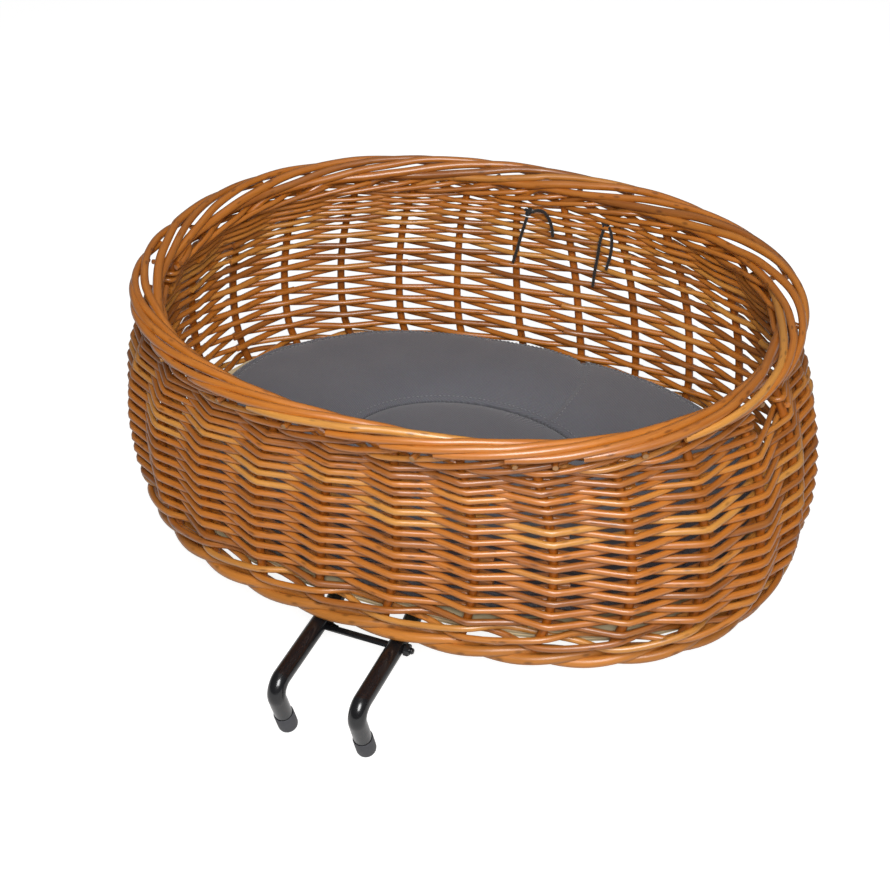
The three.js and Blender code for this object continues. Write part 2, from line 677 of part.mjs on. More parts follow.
// How far in a knot's centre lies when the knot rests on the band at its height
function knotInset(along, height) {
  const stake = Math.round(along / stakePitch - 0.5);
  const band = Math.floor((height - wallBottom) / bandHeight);
  const swingLength = (stakePitch - bandMeeting) / 2;
  const swing = 1 - Math.abs(along - stakeArc(stake)) / swingLength;
  const wallSlope = halfWidthAt(height + 1) - halfWidthAt(height);
  const reach = (knotRadius + seatGap) * Math.hypot(1, bandReach / swingLength, wallSlope);
  return stakeInset + bandThickness / 2 - bandSide(band, stake) * swing * bandReach + reach;
}
for (const { side, along, height, tails } of ties) {
  const angle = leaning(along, height);
  const centre = wallPoint(angle, height, knotInset(along, height));
  const knot = new THREE.SphereGeometry(knotRadius, cordSides, 6).scale(1.1, 0.95, 1);
  addPiece(`tie_knot_${side}`, knot.translate(centre.x, centre.y, centre.z), darkCord);
  for (const [kind, steps] of Object.entries(tails)) {
    const route = new THREE.CatmullRomCurve3(steps.map((step) => new THREE.Vector3(...step).add(centre)));
    const sweep = { steps: cordSteps, extrudePath: route, bevelEnabled: false };
    addPiece(`tie_tail_${side}_${kind}`, new THREE.ExtrudeGeometry(cordSection, sweep), darkCord);
  }
}

part.position.set(-bracketOffset, seatPlace, facetReach - barAxis);

export default part;
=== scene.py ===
"""A willow bicycle basket for a small pet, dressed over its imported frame: randed wall, wales and
borders of willow rods, a plywood base, a stitched grey cushion, dark ties and a black hook bracket."""

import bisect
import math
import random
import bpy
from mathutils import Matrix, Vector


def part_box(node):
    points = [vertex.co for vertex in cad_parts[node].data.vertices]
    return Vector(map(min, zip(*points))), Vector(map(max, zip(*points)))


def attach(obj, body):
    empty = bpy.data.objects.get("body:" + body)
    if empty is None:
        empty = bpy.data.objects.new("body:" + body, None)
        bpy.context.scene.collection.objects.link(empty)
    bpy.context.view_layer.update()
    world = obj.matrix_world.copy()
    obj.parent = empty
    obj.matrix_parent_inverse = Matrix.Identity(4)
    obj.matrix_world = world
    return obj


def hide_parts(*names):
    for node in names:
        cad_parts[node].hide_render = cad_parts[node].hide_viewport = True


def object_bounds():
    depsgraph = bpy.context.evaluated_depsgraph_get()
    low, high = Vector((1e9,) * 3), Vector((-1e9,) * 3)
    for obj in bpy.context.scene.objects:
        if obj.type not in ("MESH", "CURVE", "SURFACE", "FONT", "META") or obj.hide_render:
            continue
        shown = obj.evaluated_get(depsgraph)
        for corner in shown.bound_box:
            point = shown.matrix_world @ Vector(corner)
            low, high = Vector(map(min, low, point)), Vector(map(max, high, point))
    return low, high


bl_info = {
    "name": "Willow bicycle basket",
    "version": (1, 0, 0),
    "blender": (4, 5, 0),
    "location": "3D View > Sidebar > Basket",
    "description": "Weaves the basket and dresses its cushion, ties and hook bracket over the packed frame",
    "category": "Object",
}

import bmesh
import bpy
from bpy.props import FloatProperty, FloatVectorProperty, IntProperty, PointerProperty
from mathutils import Matrix, Vector, noise

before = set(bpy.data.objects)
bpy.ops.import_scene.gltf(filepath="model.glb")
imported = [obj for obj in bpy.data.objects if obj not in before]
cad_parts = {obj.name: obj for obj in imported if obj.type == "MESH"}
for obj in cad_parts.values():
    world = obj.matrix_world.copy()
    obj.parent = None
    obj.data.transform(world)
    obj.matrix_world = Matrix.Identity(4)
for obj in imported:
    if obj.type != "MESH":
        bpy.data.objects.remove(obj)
CAD_BOX = [list(corner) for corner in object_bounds()]
MM = 0.001

# Basket centre at the underside of its foot, in the frame's own coordinates
FOOT_LOW, FOOT_HIGH = (Vector(corner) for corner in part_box("foot_border"))
CENTRE = Vector(((FOOT_LOW.x + FOOT_HIGH.x) / 2, (FOOT_LOW.y + FOOT_HIGH.y) / 2, FOOT_LOW.z))


# Colours

def linear(hexcode):
    """An sRGB hex colour as linear red, green, blue and alpha."""
    values = [int(hexcode[i:i + 2], 16) / 255 for i in (1, 3, 5)]
    return [v / 12.92 if v <= 0.04045 else ((v + 0.055) / 1.055) ** 2.4 for v in values] + [1.0]


def colour(name, hexcode, words):
    return FloatVectorProperty(name=name, description=words, default=linear(hexcode), size=4, min=0, max=1,
                               subtype="COLOR")


def length(name, millimetres, words):
    return FloatProperty(name=name, description=words, default=millimetres * MM, unit="LENGTH",
                         subtype="DISTANCE")


# Settings that a user would change

class BasketSizes(bpy.types.PropertyGroup):
    stake_count: IntProperty(name="Stakes", description="Upright stakes in the wall", default=28)
    stake: length("Stake diameter", 7.4, "Diameter of an upright stake")
    rod: length("Weaver diameter", 5.6, "Diameter of a randing rod in the lower rows; upper ones are thinner")
    rows: IntProperty(name="Rows", description="Rows of randing up the wall", default=29)
    wale_rod: length("Wale rod diameter", 4.7, "Diameter of a waling rod")
    border_rod: length("Border rod diameter", 7.6, "Diameter of a rod in the rolled border")
    foot_rod: length("Foot rod diameter", 9.4, "Diameter of a rod in the foot rope")
    wall: length("Wall thickness", 13, "Thickness of the woven wall")
    seed: IntProperty(name="Seed", description="Seed of every random variation in the willow", default=7)


class CushionSizes(bpy.types.PropertyGroup):
    half_length: length("Half length", 256, "Half of the cushion's length")
    half_width: length("Half width", 184, "Half of the cushion's width")
    height: length("Height", 24, "Height of the padded ring")
    pad_half_length: length("Pad half length", 114, "Half of the inner pad's length")
    pad_half_width: length("Pad half width", 84, "Half of the inner pad's width")
    pad_height: length("Pad height", 13, "Height of the inner pad")
    stitch: length("Stitch pitch", 4.2, "Distance from stitch to stitch")


class BracketSizes(bpy.types.PropertyGroup):
    bar: length("Bar diameter", 14.5, "Diameter of a hook bar")
    bend: length("Bend radius", 11, "Radius of the hook's bend, at the middle of the bar")
    lean: FloatProperty(name="Hook lean", description="How far the hook leans back to the basket",
                        default=math.radians(16.5), subtype="ANGLE")
    rod: length("Cross rod diameter", 5.5, "Diameter of the rod across the bars")
    cap: length("Cap length", 20, "Length of a plastic end cap")


class Finishes(bpy.types.PropertyGroup):
    willow: colour("Willow", "#c26c16", "Boiled and lacquered willow, mid tone")
    willow_light: colour("Light willow", "#dc9c46", "The palest rods")
    willow_dark: colour("Dark willow", "#7c3806", "The darkest rods and the knots")
    stake: colour("Stake", "#a45a16", "The thicker uprights")
    foot: colour("Foot rope", "#b87430", "The paler rods of the foot")
    plywood: colour("Plywood", "#e6d3a8", "Pale face of the base board")
    cotton: colour("Cotton", "#6b6b71", "Grey cushion cloth")
    thread: colour("Thread", "#8d8d90", "Pale sewing thread")
    enamel: colour("Enamel", "#101012", "Gloss black enamel on the bars")
    cap: colour("Cap", "#48484c", "Dark grey plastic of the end caps")
    cut: colour("Cut willow", "#b5885a", "Bare wood where a rod is cut")
    zinc: colour("Zinc", "#9a9da0", "Zinc plating of the bolts")
    cord: colour("Cord", "#1c1613", "Dark brown ties")


SETTINGS = {
    "basket_sizes": BasketSizes,
    "cushion_sizes": CushionSizes,
    "bracket_sizes": BracketSizes,
    "basket_finishes": Finishes,
}


# Shape of the wall: ovals at four heights, in metres above the foot

OUTLINE_HEIGHTS = (0.0, 0.050, 0.145, 0.200)
OUTLINE_HALF_LENGTHS = (0.284, 0.299, 0.289, 0.2635)
OUTLINE_HALF_WIDTHS = (0.201, 0.199, 0.212, 0.2155)
OUTLINE_SQUARENESS = (2.4, 2.45, 2.36, 2.2)
RIM_HEIGHT = OUTLINE_HEIGHTS[-1]
RIM_RISE = 0.0015
BOARD_TOP = 0.029
WEAVE_BOTTOM = 0.0335
WEAVE_TOP = 0.1897
HOLD_BOTTOM = WEAVE_TOP - 0.016
TOP_WALE_MIDDLE = 0.197
BORDER_BOTTOM = 0.2023
BORDER_WIDTH = 0.0278
BORDER_DEPTH = 0.0186
BORDER_TILT = math.radians(20)
BORDER_HEIGHT = math.hypot(BORDER_WIDTH * math.sin(BORDER_TILT), BORDER_DEPTH * math.cos(BORDER_TILT))
BORDER_TOP = BORDER_BOTTOM + BORDER_HEIGHT
STAKE_BOTTOM, STAKE_TOP = 0.0136, 0.198
STAKE_LEAN = math.radians(5)
LEAN_PIVOT = OUTLINE_HEIGHTS[2]


def between(low, high, share):
    return low + (high - low) * share


def spaced(low, high, steps):
    return [between(low, high, k / steps) for k in range(steps + 1)]


def parity(index):
    """1 for even numbers and -1 for odd ones: the side of a stake on which a rod passes."""
    return 1 if index % 2 == 0 else -1


def smooth(share):
    share = min(1.0, max(0.0, share))
    return share * share * (3 - 2 * share)


def outline_curve(values):
    """Values at the outline heights joined by a smooth cubic curve."""
    def at(height):
        height = min(RIM_HEIGHT, max(0.0, height))
        last = len(values) - 1
        i = next(k for k in range(1, last + 1) if height <= OUTLINE_HEIGHTS[k] + 1e-12)
        t0, t1 = OUTLINE_HEIGHTS[i - 1], OUTLINE_HEIGHTS[i]
        before = (i - 2, OUTLINE_HEIGHTS[i - 2]) if i > 1 else (i, t1)
        after = (i + 1, OUTLINE_HEIGHTS[i + 1]) if i < last else (i - 1, t0)
        w0 = 0.5 * (t1 - t0) / (t0 - before[1])
        w1 = 0.5 * (t1 - t0) / (after[1] - t1)
        p = (height - t0) / (t1 - t0)
        return (values[before[0]] * (-w0 * p ** 3 + 2 * w0 * p * p - w0 * p)
                + values[i - 1] * ((1 + w0) * p ** 3 - (1.5 + 2 * w0) * p * p + (w0 - 0.5) * p + 1)
                + values[i] * ((-1 - w1) * p ** 3 + (1.5 + w1) * p * p + 0.5 * p)
                + values[after[0]] * (w1 * p ** 3 - w1 * p * p))
    return at


half_length_at = outline_curve(OUTLINE_HALF_LENGTHS)
half_width_at = outline_curve(OUTLINE_HALF_WIDTHS)
squareness_at = outline_curve(OUTLINE_SQUARENESS)


def oval_point(angle, half_length, half_width, squareness, inset=0.0):
    """A point of a squared oval, moved inwards along its normal."""
    c, s = math.cos(angle), math.sin(angle)
    x = half_length * math.copysign(abs(c) ** (2 / squareness), c)
    y = half_width * math.copysign(abs(s) ** (2 / squareness), s)
    normal = Vector((
        math.copysign(abs(x / half_length) ** (squareness - 1), x) / half_length,
        math.copysign(abs(y / half_width) ** (squareness - 1), y) / half_width,
    )).normalized()
    return Vector((x, y)) - normal * inset


def wall_point(angle, height, inset, outline_height=None):
    """A point of the basket in the frame's coordinates: along the wall, up, and inwards."""
    level = height if outline_height is None else outline_height
    flat = oval_point(angle, half_length_at(level), half_width_at(level), squareness_at(level), inset)
    lift = RIM_RISE * max(0.0, (height - BOARD_TOP) / (BORDER_TOP - BOARD_TOP)) * math.cos(2 * angle)
    return CENTRE + Vector((flat.x, flat.y, height + lift))


class Round:
    """Lengths along the belly, counted from the +X end, and the angles that they belong to."""

    def __init__(self, sizes, samples=1440):
        self.inset = sizes.wall / 2
        self.table = [0.0]
        for k in range(1, samples + 1):
            step = (wall_point(k * math.tau / samples, LEAN_PIVOT, self.inset)
                    - wall_point((k - 1) * math.tau / samples, LEAN_PIVOT, self.inset))
            self.table.append(self.table[-1] + math.hypot(step.x, step.y))
        self.samples = samples
        self.perimeter = self.table[-1]
        self.count = sizes.stake_count
        self.pitch = self.perimeter / self.count

    def angle(self, along):
        turns = math.floor(along / self.perimeter)
        rest = along - turns * self.perimeter
        low = min(bisect.bisect_right(self.table, rest), self.samples) - 1
        share = (rest - self.table[low]) / (self.table[low + 1] - self.table[low])
        return (turns + (low + share) / self.samples) * math.tau

    def leaning(self, along, height):
        """The angle at a length along the wall, carried with the lean of the stakes."""
        return self.angle(along) + STAKE_LEAN * (height - LEAN_PIVOT) / BORDER_TOP

    def stake(self, index):
        return (index + 0.5) * self.pitch


# Materials

def add_node(tree, kind, settings=None, inputs=None):
    """Adds a node, sets its properties, and sets or links its inputs."""
    node = tree.nodes.new(kind)
    for key, value in (settings or {}).items():
        setattr(node, key, value)
    for key, value in (inputs or {}).items():
        socket = node.inputs[key]
        if isinstance(value, bpy.types.NodeSocket):
            tree.links.new(value, socket)
        else:
            socket.default_value = value
    return node


def object_place(tree):
    """The piece's own coordinates, in metres."""
    return add_node(tree, "ShaderNodeTexCoord").outputs["Object"]


def attribute(tree, name, output="Fac"):
    return add_node(tree, "ShaderNodeAttribute", {"attribute_name": name}).outputs[output]


def calc(tree, operation, *values):
    return add_node(tree, "ShaderNodeMath", {"operation": operation}, dict(enumerate(values))).outputs[0]


def stretched(tree, place, scale):
    return add_node(tree, "ShaderNodeMapping", inputs={"Vector": place, "Scale": scale}).outputs[0]


def noise_node(tree, place, scale, detail, rough=0.5):
    return add_node(tree, "ShaderNodeTexNoise",
                    inputs={"Vector": place, "Scale": scale, "Detail": detail, "Roughness": rough})


def bands(tree, place, direction, scale, distortion, detail=2.0):
    """Parallel bands across a direction; they repeat every 0.314 / scale, or 0.628 / scale if diagonal."""
    wave = add_node(tree, "ShaderNodeTexWave", {"wave_type": "BANDS", "bands_direction": direction},
                    {"Vector": place, "Scale": scale, "Distortion": distortion, "Detail": detail})
    return wave.outputs["Fac"]


def spread(tree, value, low, high, to_low, to_high):
    """A value carried from one range to another, and kept within it."""
    limits = {"From Min": low, "From Max": high, "To Min": to_low, "To Max": to_high}
    return add_node(tree, "ShaderNodeMapRange", inputs={"Value": value, **limits}).outputs[0]


def bump_on(tree, height, strength, distance):
    return add_node(tree, "ShaderNodeBump",
                    inputs={"Height": height, "Strength": strength, "Distance": distance}).outputs[0]


def ramp(tree, factor, stops):
    node = add_node(tree, "ShaderNodeValToRGB", inputs={"Fac": factor})
    elements = node.color_ramp.elements
    while len(elements) < len(stops):
        elements.new(0.5)
    for element, (place, value) in zip(elements, stops):
        element.position = place
        element.color = value
    return node.outputs["Color"]


def mix(tree, factor, low, high, blend="MIX"):
    """Two colours mixed; 0, 6, 7 and 2 are the colour sockets of the mix node."""
    return add_node(tree, "ShaderNodeMix", {"data_type": "RGBA", "blend_type": blend},
                    {0: factor, 6: low, 7: high}).outputs[2]


def shade(base, share):
    """A colour made darker or lighter by a share."""
    return [min(1.0, v * share) for v in base[:3]] + [1.0]


def new_material(name):
    material = bpy.data.materials.new(name)
    material.use_nodes = True
    material.node_tree.nodes.clear()
    return material, material.node_tree


def finished(material, base, rough, bump, sockets):
    """Ends a material in one shader; base, rough and bump are sockets or plain values."""
    inputs = {"Base Color": base, "Roughness": rough, **sockets}
    if bump is not None:
        inputs["Normal"] = bump
    shader = add_node(material.node_tree, "ShaderNodeBsdfPrincipled", inputs=inputs)
    add_node(material.node_tree, "ShaderNodeOutputMaterial", inputs={"Surface": shader.outputs[0]})
    return material


def willow_material(name, mid, light, dark, rough, coat):
    """Boiled willow under clear lacquer: streaks along the rod, paler and darker rods, dark knots."""
    material, tree = new_material(name)
    tint = attribute(tree, "tint")
    split = add_node(tree, "ShaderNodeSeparateXYZ", inputs={"Vector": attribute(tree, "round", "Vector")})
    # One unit of the grain pattern is 40 mm along the rod and half a rod's width across it
    unit = calc(tree, "MULTIPLY", attribute(tree, "along"), 25.0)
    shift = calc(tree, "MULTIPLY_ADD", tint, 57.0, unit)
    place = add_node(tree, "ShaderNodeCombineXYZ",
                     inputs={"X": shift, "Y": split.outputs["X"], "Z": split.outputs["Y"]}).outputs[0]
    streak = noise_node(tree, place, 1.6, 4.0).outputs["Fac"]
    grain = noise_node(tree, stretched(tree, place, (1.0, 4.0, 4.0)), 3.0, 5.0, 0.65).outputs["Fac"]
    # Knots are spots about 4 mm long with a soft edge, one in some 30 mm of rod
    knot = add_node(tree, "ShaderNodeTexVoronoi", {"feature": "F1"},
                    {"Vector": stretched(tree, place, (4.0, 1.0, 1.0)), "Scale": 0.55, "Randomness": 1.0})
    knot_mask = spread(tree, knot.outputs["Distance"], 0.10, 0.24, 0.55, 0.0)
    body = ramp(tree, tint, [(0.0, dark), (0.28, mid), (0.72, mid), (1.0, light)])
    body = mix(tree, 0.38, body, mix(tree, streak, dark, light))
    body = mix(tree, spread(tree, grain, 0.45, 0.75, 0.0, 0.45), body, dark)
    body = mix(tree, knot_mask, body, shade(dark, 0.28))
    gloss = spread(tree, streak, 0.3, 0.7, rough - 0.06, rough + 0.1)
    return finished(material, body, gloss, bump_on(tree, grain, 0.35, 0.0004),
                    {"Coat Weight": coat, "Coat Roughness": 0.32, "Coat IOR": 1.6, "Specular IOR Level": 0.3})


def plywood_material(name, base):
    """Birch plywood, sawn edge: pale and dark plies 1.4 mm thick, fine grain on the face."""
    material, tree = new_material(name)
    place = object_place(tree)
    # Plies: the bands repeat every 2.8 mm of height, so each ply is 1.4 mm
    plies = bands(tree, place, "Z", 112.0, 0.6)
    grain = noise_node(tree, stretched(tree, place, (12.0, 160.0, 300.0)), 1.0, 6.0).outputs["Fac"]
    dark = shade(base, 0.55)
    body = mix(tree, ramp(tree, plies, [(0.35, (0, 0, 0, 1)), (0.65, (1, 1, 1, 1))]), dark, base)
    body = mix(tree, spread(tree, grain, 0.4, 0.7, 0.0, 0.5), body, dark)
    return finished(material, body, 0.62, bump_on(tree, grain, 0.3, 0.0005), {"IOR": 1.48})


def cotton_material(name, base):
    """Plain-woven grey cotton: crossed threads, matt with a soft sheen, slightly uneven dye."""
    material, tree = new_material(name)
    place = object_place(tree)
    # Threads are really 0.5 mm apart; they are drawn 1.3 mm apart so that the weave shows
    weave = calc(tree, "MULTIPLY", *(bands(tree, place, axis, 240.0, 1.2, 1.0) for axis in "XY"))
    dye = noise_node(tree, place, 14.0, 5.0, 0.6).outputs["Fac"]
    slub = noise_node(tree, place, 420.0, 3.0)
    body = mix(tree, weave, shade(base, 0.62), shade(base, 1.32))
    body = mix(tree, spread(tree, dye, 0.3, 0.7, 0.0, 0.5), body, base)
    body = mix(tree, 0.12, body, slub.outputs["Color"], "OVERLAY")
    height = calc(tree, "MULTIPLY_ADD", slub.outputs["Fac"], 0.5, weave)
    return finished(material, body, 0.92, bump_on(tree, height, 0.5, 0.0005),
                    {"Sheen Weight": 0.25, "Sheen Roughness": 0.5, "Specular IOR Level": 0.25})


def enamel_material(name, base):
    """Dipped black enamel on steel: deep gloss with a faint orange peel and dust."""
    material, tree = new_material(name)
    place = object_place(tree)
    peel = noise_node(tree, place, 320.0, 2.0).outputs["Fac"]
    smear = noise_node(tree, place, 45.0, 4.0).outputs["Fac"]
    body = mix(tree, smear, base, shade(base, 1.9))
    rough = spread(tree, smear, 0.3, 0.75, 0.16, 0.34)
    return finished(material, body, rough, bump_on(tree, peel, 0.12, 0.0003),
                    {"Coat Weight": 0.4, "Coat Roughness": 0.1, "IOR": 1.5})


def plastic_material(name, base):
    """Moulded soft plastic: satin, with a fine spark-eroded grain."""
    material, tree = new_material(name)
    place = object_place(tree)
    grain = noise_node(tree, place, 900.0, 3.0).outputs["Fac"]
    cloud = noise_node(tree, place, 60.0, 3.0).outputs["Fac"]
    body = mix(tree, cloud, shade(base, 0.8), shade(base, 1.2))
    return finished(material, body, 0.5, bump_on(tree, grain, 0.25, 0.0003), {"IOR": 1.46})


def zinc_material(name, base):
    """Zinc-plated steel: bright, with cloudy passivation."""
    material, tree = new_material(name)
    cloud = noise_node(tree, object_place(tree), 120.0, 4.0).outputs["Fac"]
    rough = spread(tree, cloud, 0.3, 0.7, 0.28, 0.46)
    return finished(material, mix(tree, cloud, base, shade(base, 0.7)), rough, None, {"Metallic": 1.0})


def cord_material(name, base):
    """Braided cotton cord: slanting strands 2.5 mm apart that run round the cord."""
    material, tree = new_material(name)
    split = add_node(tree, "ShaderNodeSeparateXYZ", inputs={"Vector": attribute(tree, "round", "Vector")})
    # One unit along the cord is 2 mm
    unit = calc(tree, "MULTIPLY", attribute(tree, "along"), 500.0)
    slant = calc(tree, "MULTIPLY_ADD", split.outputs["X"], 0.8, unit)
    place = add_node(tree, "ShaderNodeCombineXYZ", inputs={"X": slant, "Y": split.outputs["Y"]}).outputs[0]
    strand = bands(tree, place, "DIAGONAL", 0.5, 0.5)
    body = mix(tree, strand, shade(base, 0.55), shade(base, 1.7))
    return finished(material, body, 0.85, bump_on(tree, strand, 0.6, 0.0004),
                    {"Sheen Weight": 0.2, "Sheen Roughness": 0.5})


def fibre_material(name, base):
    """Fine fibre, as in spun thread and in the cut end of a rod: half matt, with a speckled tone."""
    material, tree = new_material(name)
    speckle = noise_node(tree, object_place(tree), 700.0, 2.0).outputs["Fac"]
    return finished(material, mix(tree, speckle, shade(base, 0.7), base), 0.6, None, {"IOR": 1.5})


MATERIALS = {}
PLAIN_FINISHES = {
    "cut": (fibre_material, "Cut willow ends"),
    "plywood": (plywood_material, "Birch plywood"),
    "cotton": (cotton_material, "Woven cotton"),
    "thread": (fibre_material, "Sewing thread"),
    "enamel": (enamel_material, "Black enamel"),
    "cap": (plastic_material, "Moulded grey plastic"),
    "zinc": (zinc_material, "Zinc plate"),
    "cord": (cord_material, "Braided cord"),
}


def make_materials(finishes):
    tones = {key: list(getattr(finishes, key)) for key in Finishes.__annotations__}
    MATERIALS["willow"] = willow_material("Lacquered willow", tones["willow"], tones["willow_light"],
                                          tones["willow_dark"], 0.42, 0.9)
    for key, rough, coat in (("stake", 0.4, 0.25), ("foot", 0.36, 0.35)):
        tone = tones[key]
        MATERIALS[key] = willow_material(f"Lacquered {key} willow", tone, shade(tone, 1.5), shade(tone, 0.5),
                                         rough, coat)
    for key, (make, name) in PLAIN_FINISHES.items():
        MATERIALS[key] = make(name, tones[key])


# Geometry node trees

def new_tree(name, inputs):
    """A geometry node tree with a geometry input, named inputs and a geometry output."""
    tree = bpy.data.node_groups.new(name, "GeometryNodeTree")
    tree.interface.new_socket("Geometry", in_out="INPUT", socket_type="NodeSocketGeometry")
    for label, kind, default in inputs:
        socket = tree.interface.new_socket(label, in_out="INPUT", socket_type=kind)
        if default is not None:
            socket.default_value = default
    tree.interface.new_socket("Geometry", in_out="OUTPUT", socket_type="NodeSocketGeometry")
    start = add_node(tree, "NodeGroupInput")
    end = add_node(tree, "NodeGroupOutput")
    return tree, start, end


def close_tree(tree, start, end, geometry):
    """Ends a tree: smooth faces, instances made real, the material set."""
    soft = add_node(tree, "GeometryNodeSetShadeSmooth", inputs={"Geometry": geometry, "Shade Smooth": True})
    real = add_node(tree, "GeometryNodeRealizeInstances", inputs={"Geometry": soft.outputs[0]})
    painted = add_node(tree, "GeometryNodeSetMaterial",
                       inputs={"Geometry": real.outputs[0], "Material": start.outputs["Material"]})
    tree.links.new(painted.outputs[0], end.inputs[0])


def stored(tree, geometry, name, kind, value):
    """Geometry with a named value on each of its points."""
    return add_node(tree, "GeometryNodeStoreNamedAttribute", {"data_type": kind, "domain": "POINT"},
                    {"Geometry": geometry, "Name": name, "Value": value}).outputs[0]


def rod_tree():
    """Round rods along lines: each point's own radius, its length along the rod and its place round it."""
    tree, start, end = new_tree("Rods along lines", [
        ("Sides", "NodeSocketInt", 8), ("Material", "NodeSocketMaterial", None)])
    lines = add_node(tree, "GeometryNodeMeshToCurve", inputs={"Mesh": start.outputs["Geometry"]})
    run = add_node(tree, "GeometryNodeSplineParameter")
    marked = stored(tree, lines.outputs[0], "along", "FLOAT", run.outputs["Length"])
    ring = add_node(tree, "GeometryNodeCurvePrimitiveCircle", {"mode": "RADIUS"},
                    {"Resolution": start.outputs["Sides"], "Radius": 1.0})
    spot = add_node(tree, "GeometryNodeInputPosition")
    ring_marked = stored(tree, ring.outputs["Curve"], "round", "FLOAT_VECTOR", spot.outputs[0])
    thick = add_node(tree, "GeometryNodeInputNamedAttribute", {"data_type": "FLOAT"}, {"Name": "thickness"})
    swept = add_node(tree, "GeometryNodeCurveToMesh",
                     inputs={"Curve": marked, "Profile Curve": ring_marked, "Scale": thick.outputs[0],
                             "Fill Caps": True})
    close_tree(tree, start, end, swept.outputs[0])
    return tree


def stitch_tree():
    """Stitches along lines: one small bead of thread at each step, laid along the seam."""
    tree, start, end = new_tree("Stitches along lines", [
        ("Pitch", "NodeSocketFloat", 0.004), ("Length", "NodeSocketFloat", 0.0028),
        ("Width", "NodeSocketFloat", 0.0008), ("Material", "NodeSocketMaterial", None)])
    lines = add_node(tree, "GeometryNodeMeshToCurve", inputs={"Mesh": start.outputs["Geometry"]})
    steps = add_node(tree, "GeometryNodeCurveToPoints", {"mode": "LENGTH"},
                     {"Curve": lines.outputs[0], "Length": start.outputs["Pitch"]})
    lie = add_node(tree, "FunctionNodeAlignRotationToVector", {"axis": "X"},
                   {"Vector": steps.outputs["Tangent"]})
    bead = add_node(tree, "GeometryNodeMeshUVSphere", inputs={"Segments": 6, "Rings": 4, "Radius": 0.5})
    width = start.outputs["Width"]
    size = add_node(tree, "ShaderNodeCombineXYZ",
                    inputs={"X": start.outputs["Length"], "Y": width, "Z": width})
    laid = add_node(tree, "GeometryNodeInstanceOnPoints",
                    inputs={"Points": steps.outputs["Points"], "Instance": bead.outputs["Mesh"],
                            "Rotation": lie.outputs[0], "Scale": size.outputs[0]})
    close_tree(tree, start, end, laid.outputs[0])
    return tree


TREES = {}


def grow(name, lines, tree_name, inputs):
    """Runs a tree on lines of (points, thicknesses, tint) and returns a plain mesh object."""
    mesh = bpy.data.meshes.new(name + "_lines")
    points, edges, thicknesses, tints = [], [], [], []
    for run, thickness, tint in lines:
        first = len(points)
        points.extend(run)
        thicknesses.extend(thickness if isinstance(thickness, list) else [thickness] * len(run))
        tints.extend([tint] * len(run))
        edges.extend((first + k, first + k + 1) for k in range(len(run) - 1))
    mesh.from_pydata(points, edges, [])
    for label, values in (("thickness", thicknesses), ("tint", tints)):
        mesh.attributes.new(label, "FLOAT", "POINT").data.foreach_set("value", values)
    source = show(name + "_lines", mesh)
    modifier = source.modifiers.new("grow", "NODES")
    modifier.node_group = TREES[tree_name]
    keys = {item.name: item.identifier for item in modifier.node_group.interface.items_tree
            if item.item_type == "SOCKET" and item.in_out == "INPUT"}
    for label, value in inputs.items():
        modifier[keys[label]] = value
    graph = bpy.context.evaluated_depsgraph_get()
    grown = bpy.data.meshes.new_from_object(source.evaluated_get(graph), preserve_all_data_layers=True,
                                            depsgraph=graph)
    source.modifiers.remove(modifier)
    bpy.data.objects.remove(source)
    bpy.data.meshes.remove(mesh)
    if not grown.polygons:
        raise RuntimeError(f"{name}: the node tree gave no faces")
    grown.name = name
    return show(name, grown)


def show(name, mesh):
    piece = bpy.data.objects.new(name, mesh)
    bpy.context.scene.collection.objects.link(piece)
    return piece


def rods(name, lines, material, sides=8):
    return grow(name, lines, "rods", {"Sides": sides, "Material": MATERIALS[material]})


def settle(piece, body, slot, *nodes):
    """Rides a finished piece on its body, with the nodes that it stands for. The slot is not used."""
    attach(piece, body)
    if nodes:
        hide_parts(*nodes)


# Willow rods

def uneven(share, *place):
    """1, more or less by a share that drifts from place to place."""
    return 1 + share * noise.noise(place)


def stake_lines(sizes, around, chance):
    lines = []
    steps = 22
    for index in range(around.count):
        points, thick = [], []
        wobble = chance.uniform(0, 50)
        for k in range(steps + 1):
            height = between(STAKE_BOTTOM, STAKE_TOP, k / steps)
            sway = 0.0006 * noise.noise((wobble, height * 30, 0))
            angle = around.leaning(around.stake(index) + sway, height)
            points.append(wall_point(angle, height, around.inset))
            radius = sizes.stake / 2 * between(1.03, 0.93, k / steps)
            thick.append(radius * uneven(0.04, wobble, height * 60, 5))
        lines.append((points, thick, chance.random()))
    return lines


def row_layout(sizes):
    """Height and rod diameter of each row, from the thicker lower rods to the thinner upper ones."""
    steps = 200
    heights = spaced(WEAVE_BOTTOM, WEAVE_TOP, steps)
    run = [0.0]
    for low, high in zip(heights, heights[1:]):
        out = 0.5 * (half_width_at(high) - half_width_at(low) + half_length_at(high) - half_length_at(low))
        run.append(run[-1] + math.hypot(high - low, out))
    upper = [smooth((row / sizes.rows - 0.3) / 0.65) for row in range(sizes.rows)]
    shares = [between(1.0, 0.55, step) for step in upper]
    rows, below = [], 0.0
    for share, step in zip(shares, upper):
        target = run[-1] * (below + share / 2) / sum(shares)
        below += share
        k = next(i for i in range(steps) if run[i + 1] >= target)
        height = between(heights[k], heights[k + 1], (target - run[k]) / (run[k + 1] - run[k]))
        rows.append((height, sizes.rod * between(1.0, 0.84, step)))
    return rows


# Points of a rod from one stake to the next
SPAN_POINTS = 10
# How far a weaver lies in between two stakes
FLATTEN = 0.0015
# How far a rod presses into a stake
WEAVER_PRESS, WALE_PRESS = 0.0003, 0.0004
# How sharply a weaver bends at a stake: 1 is a zigzag, less is rounder
KINK = 0.998


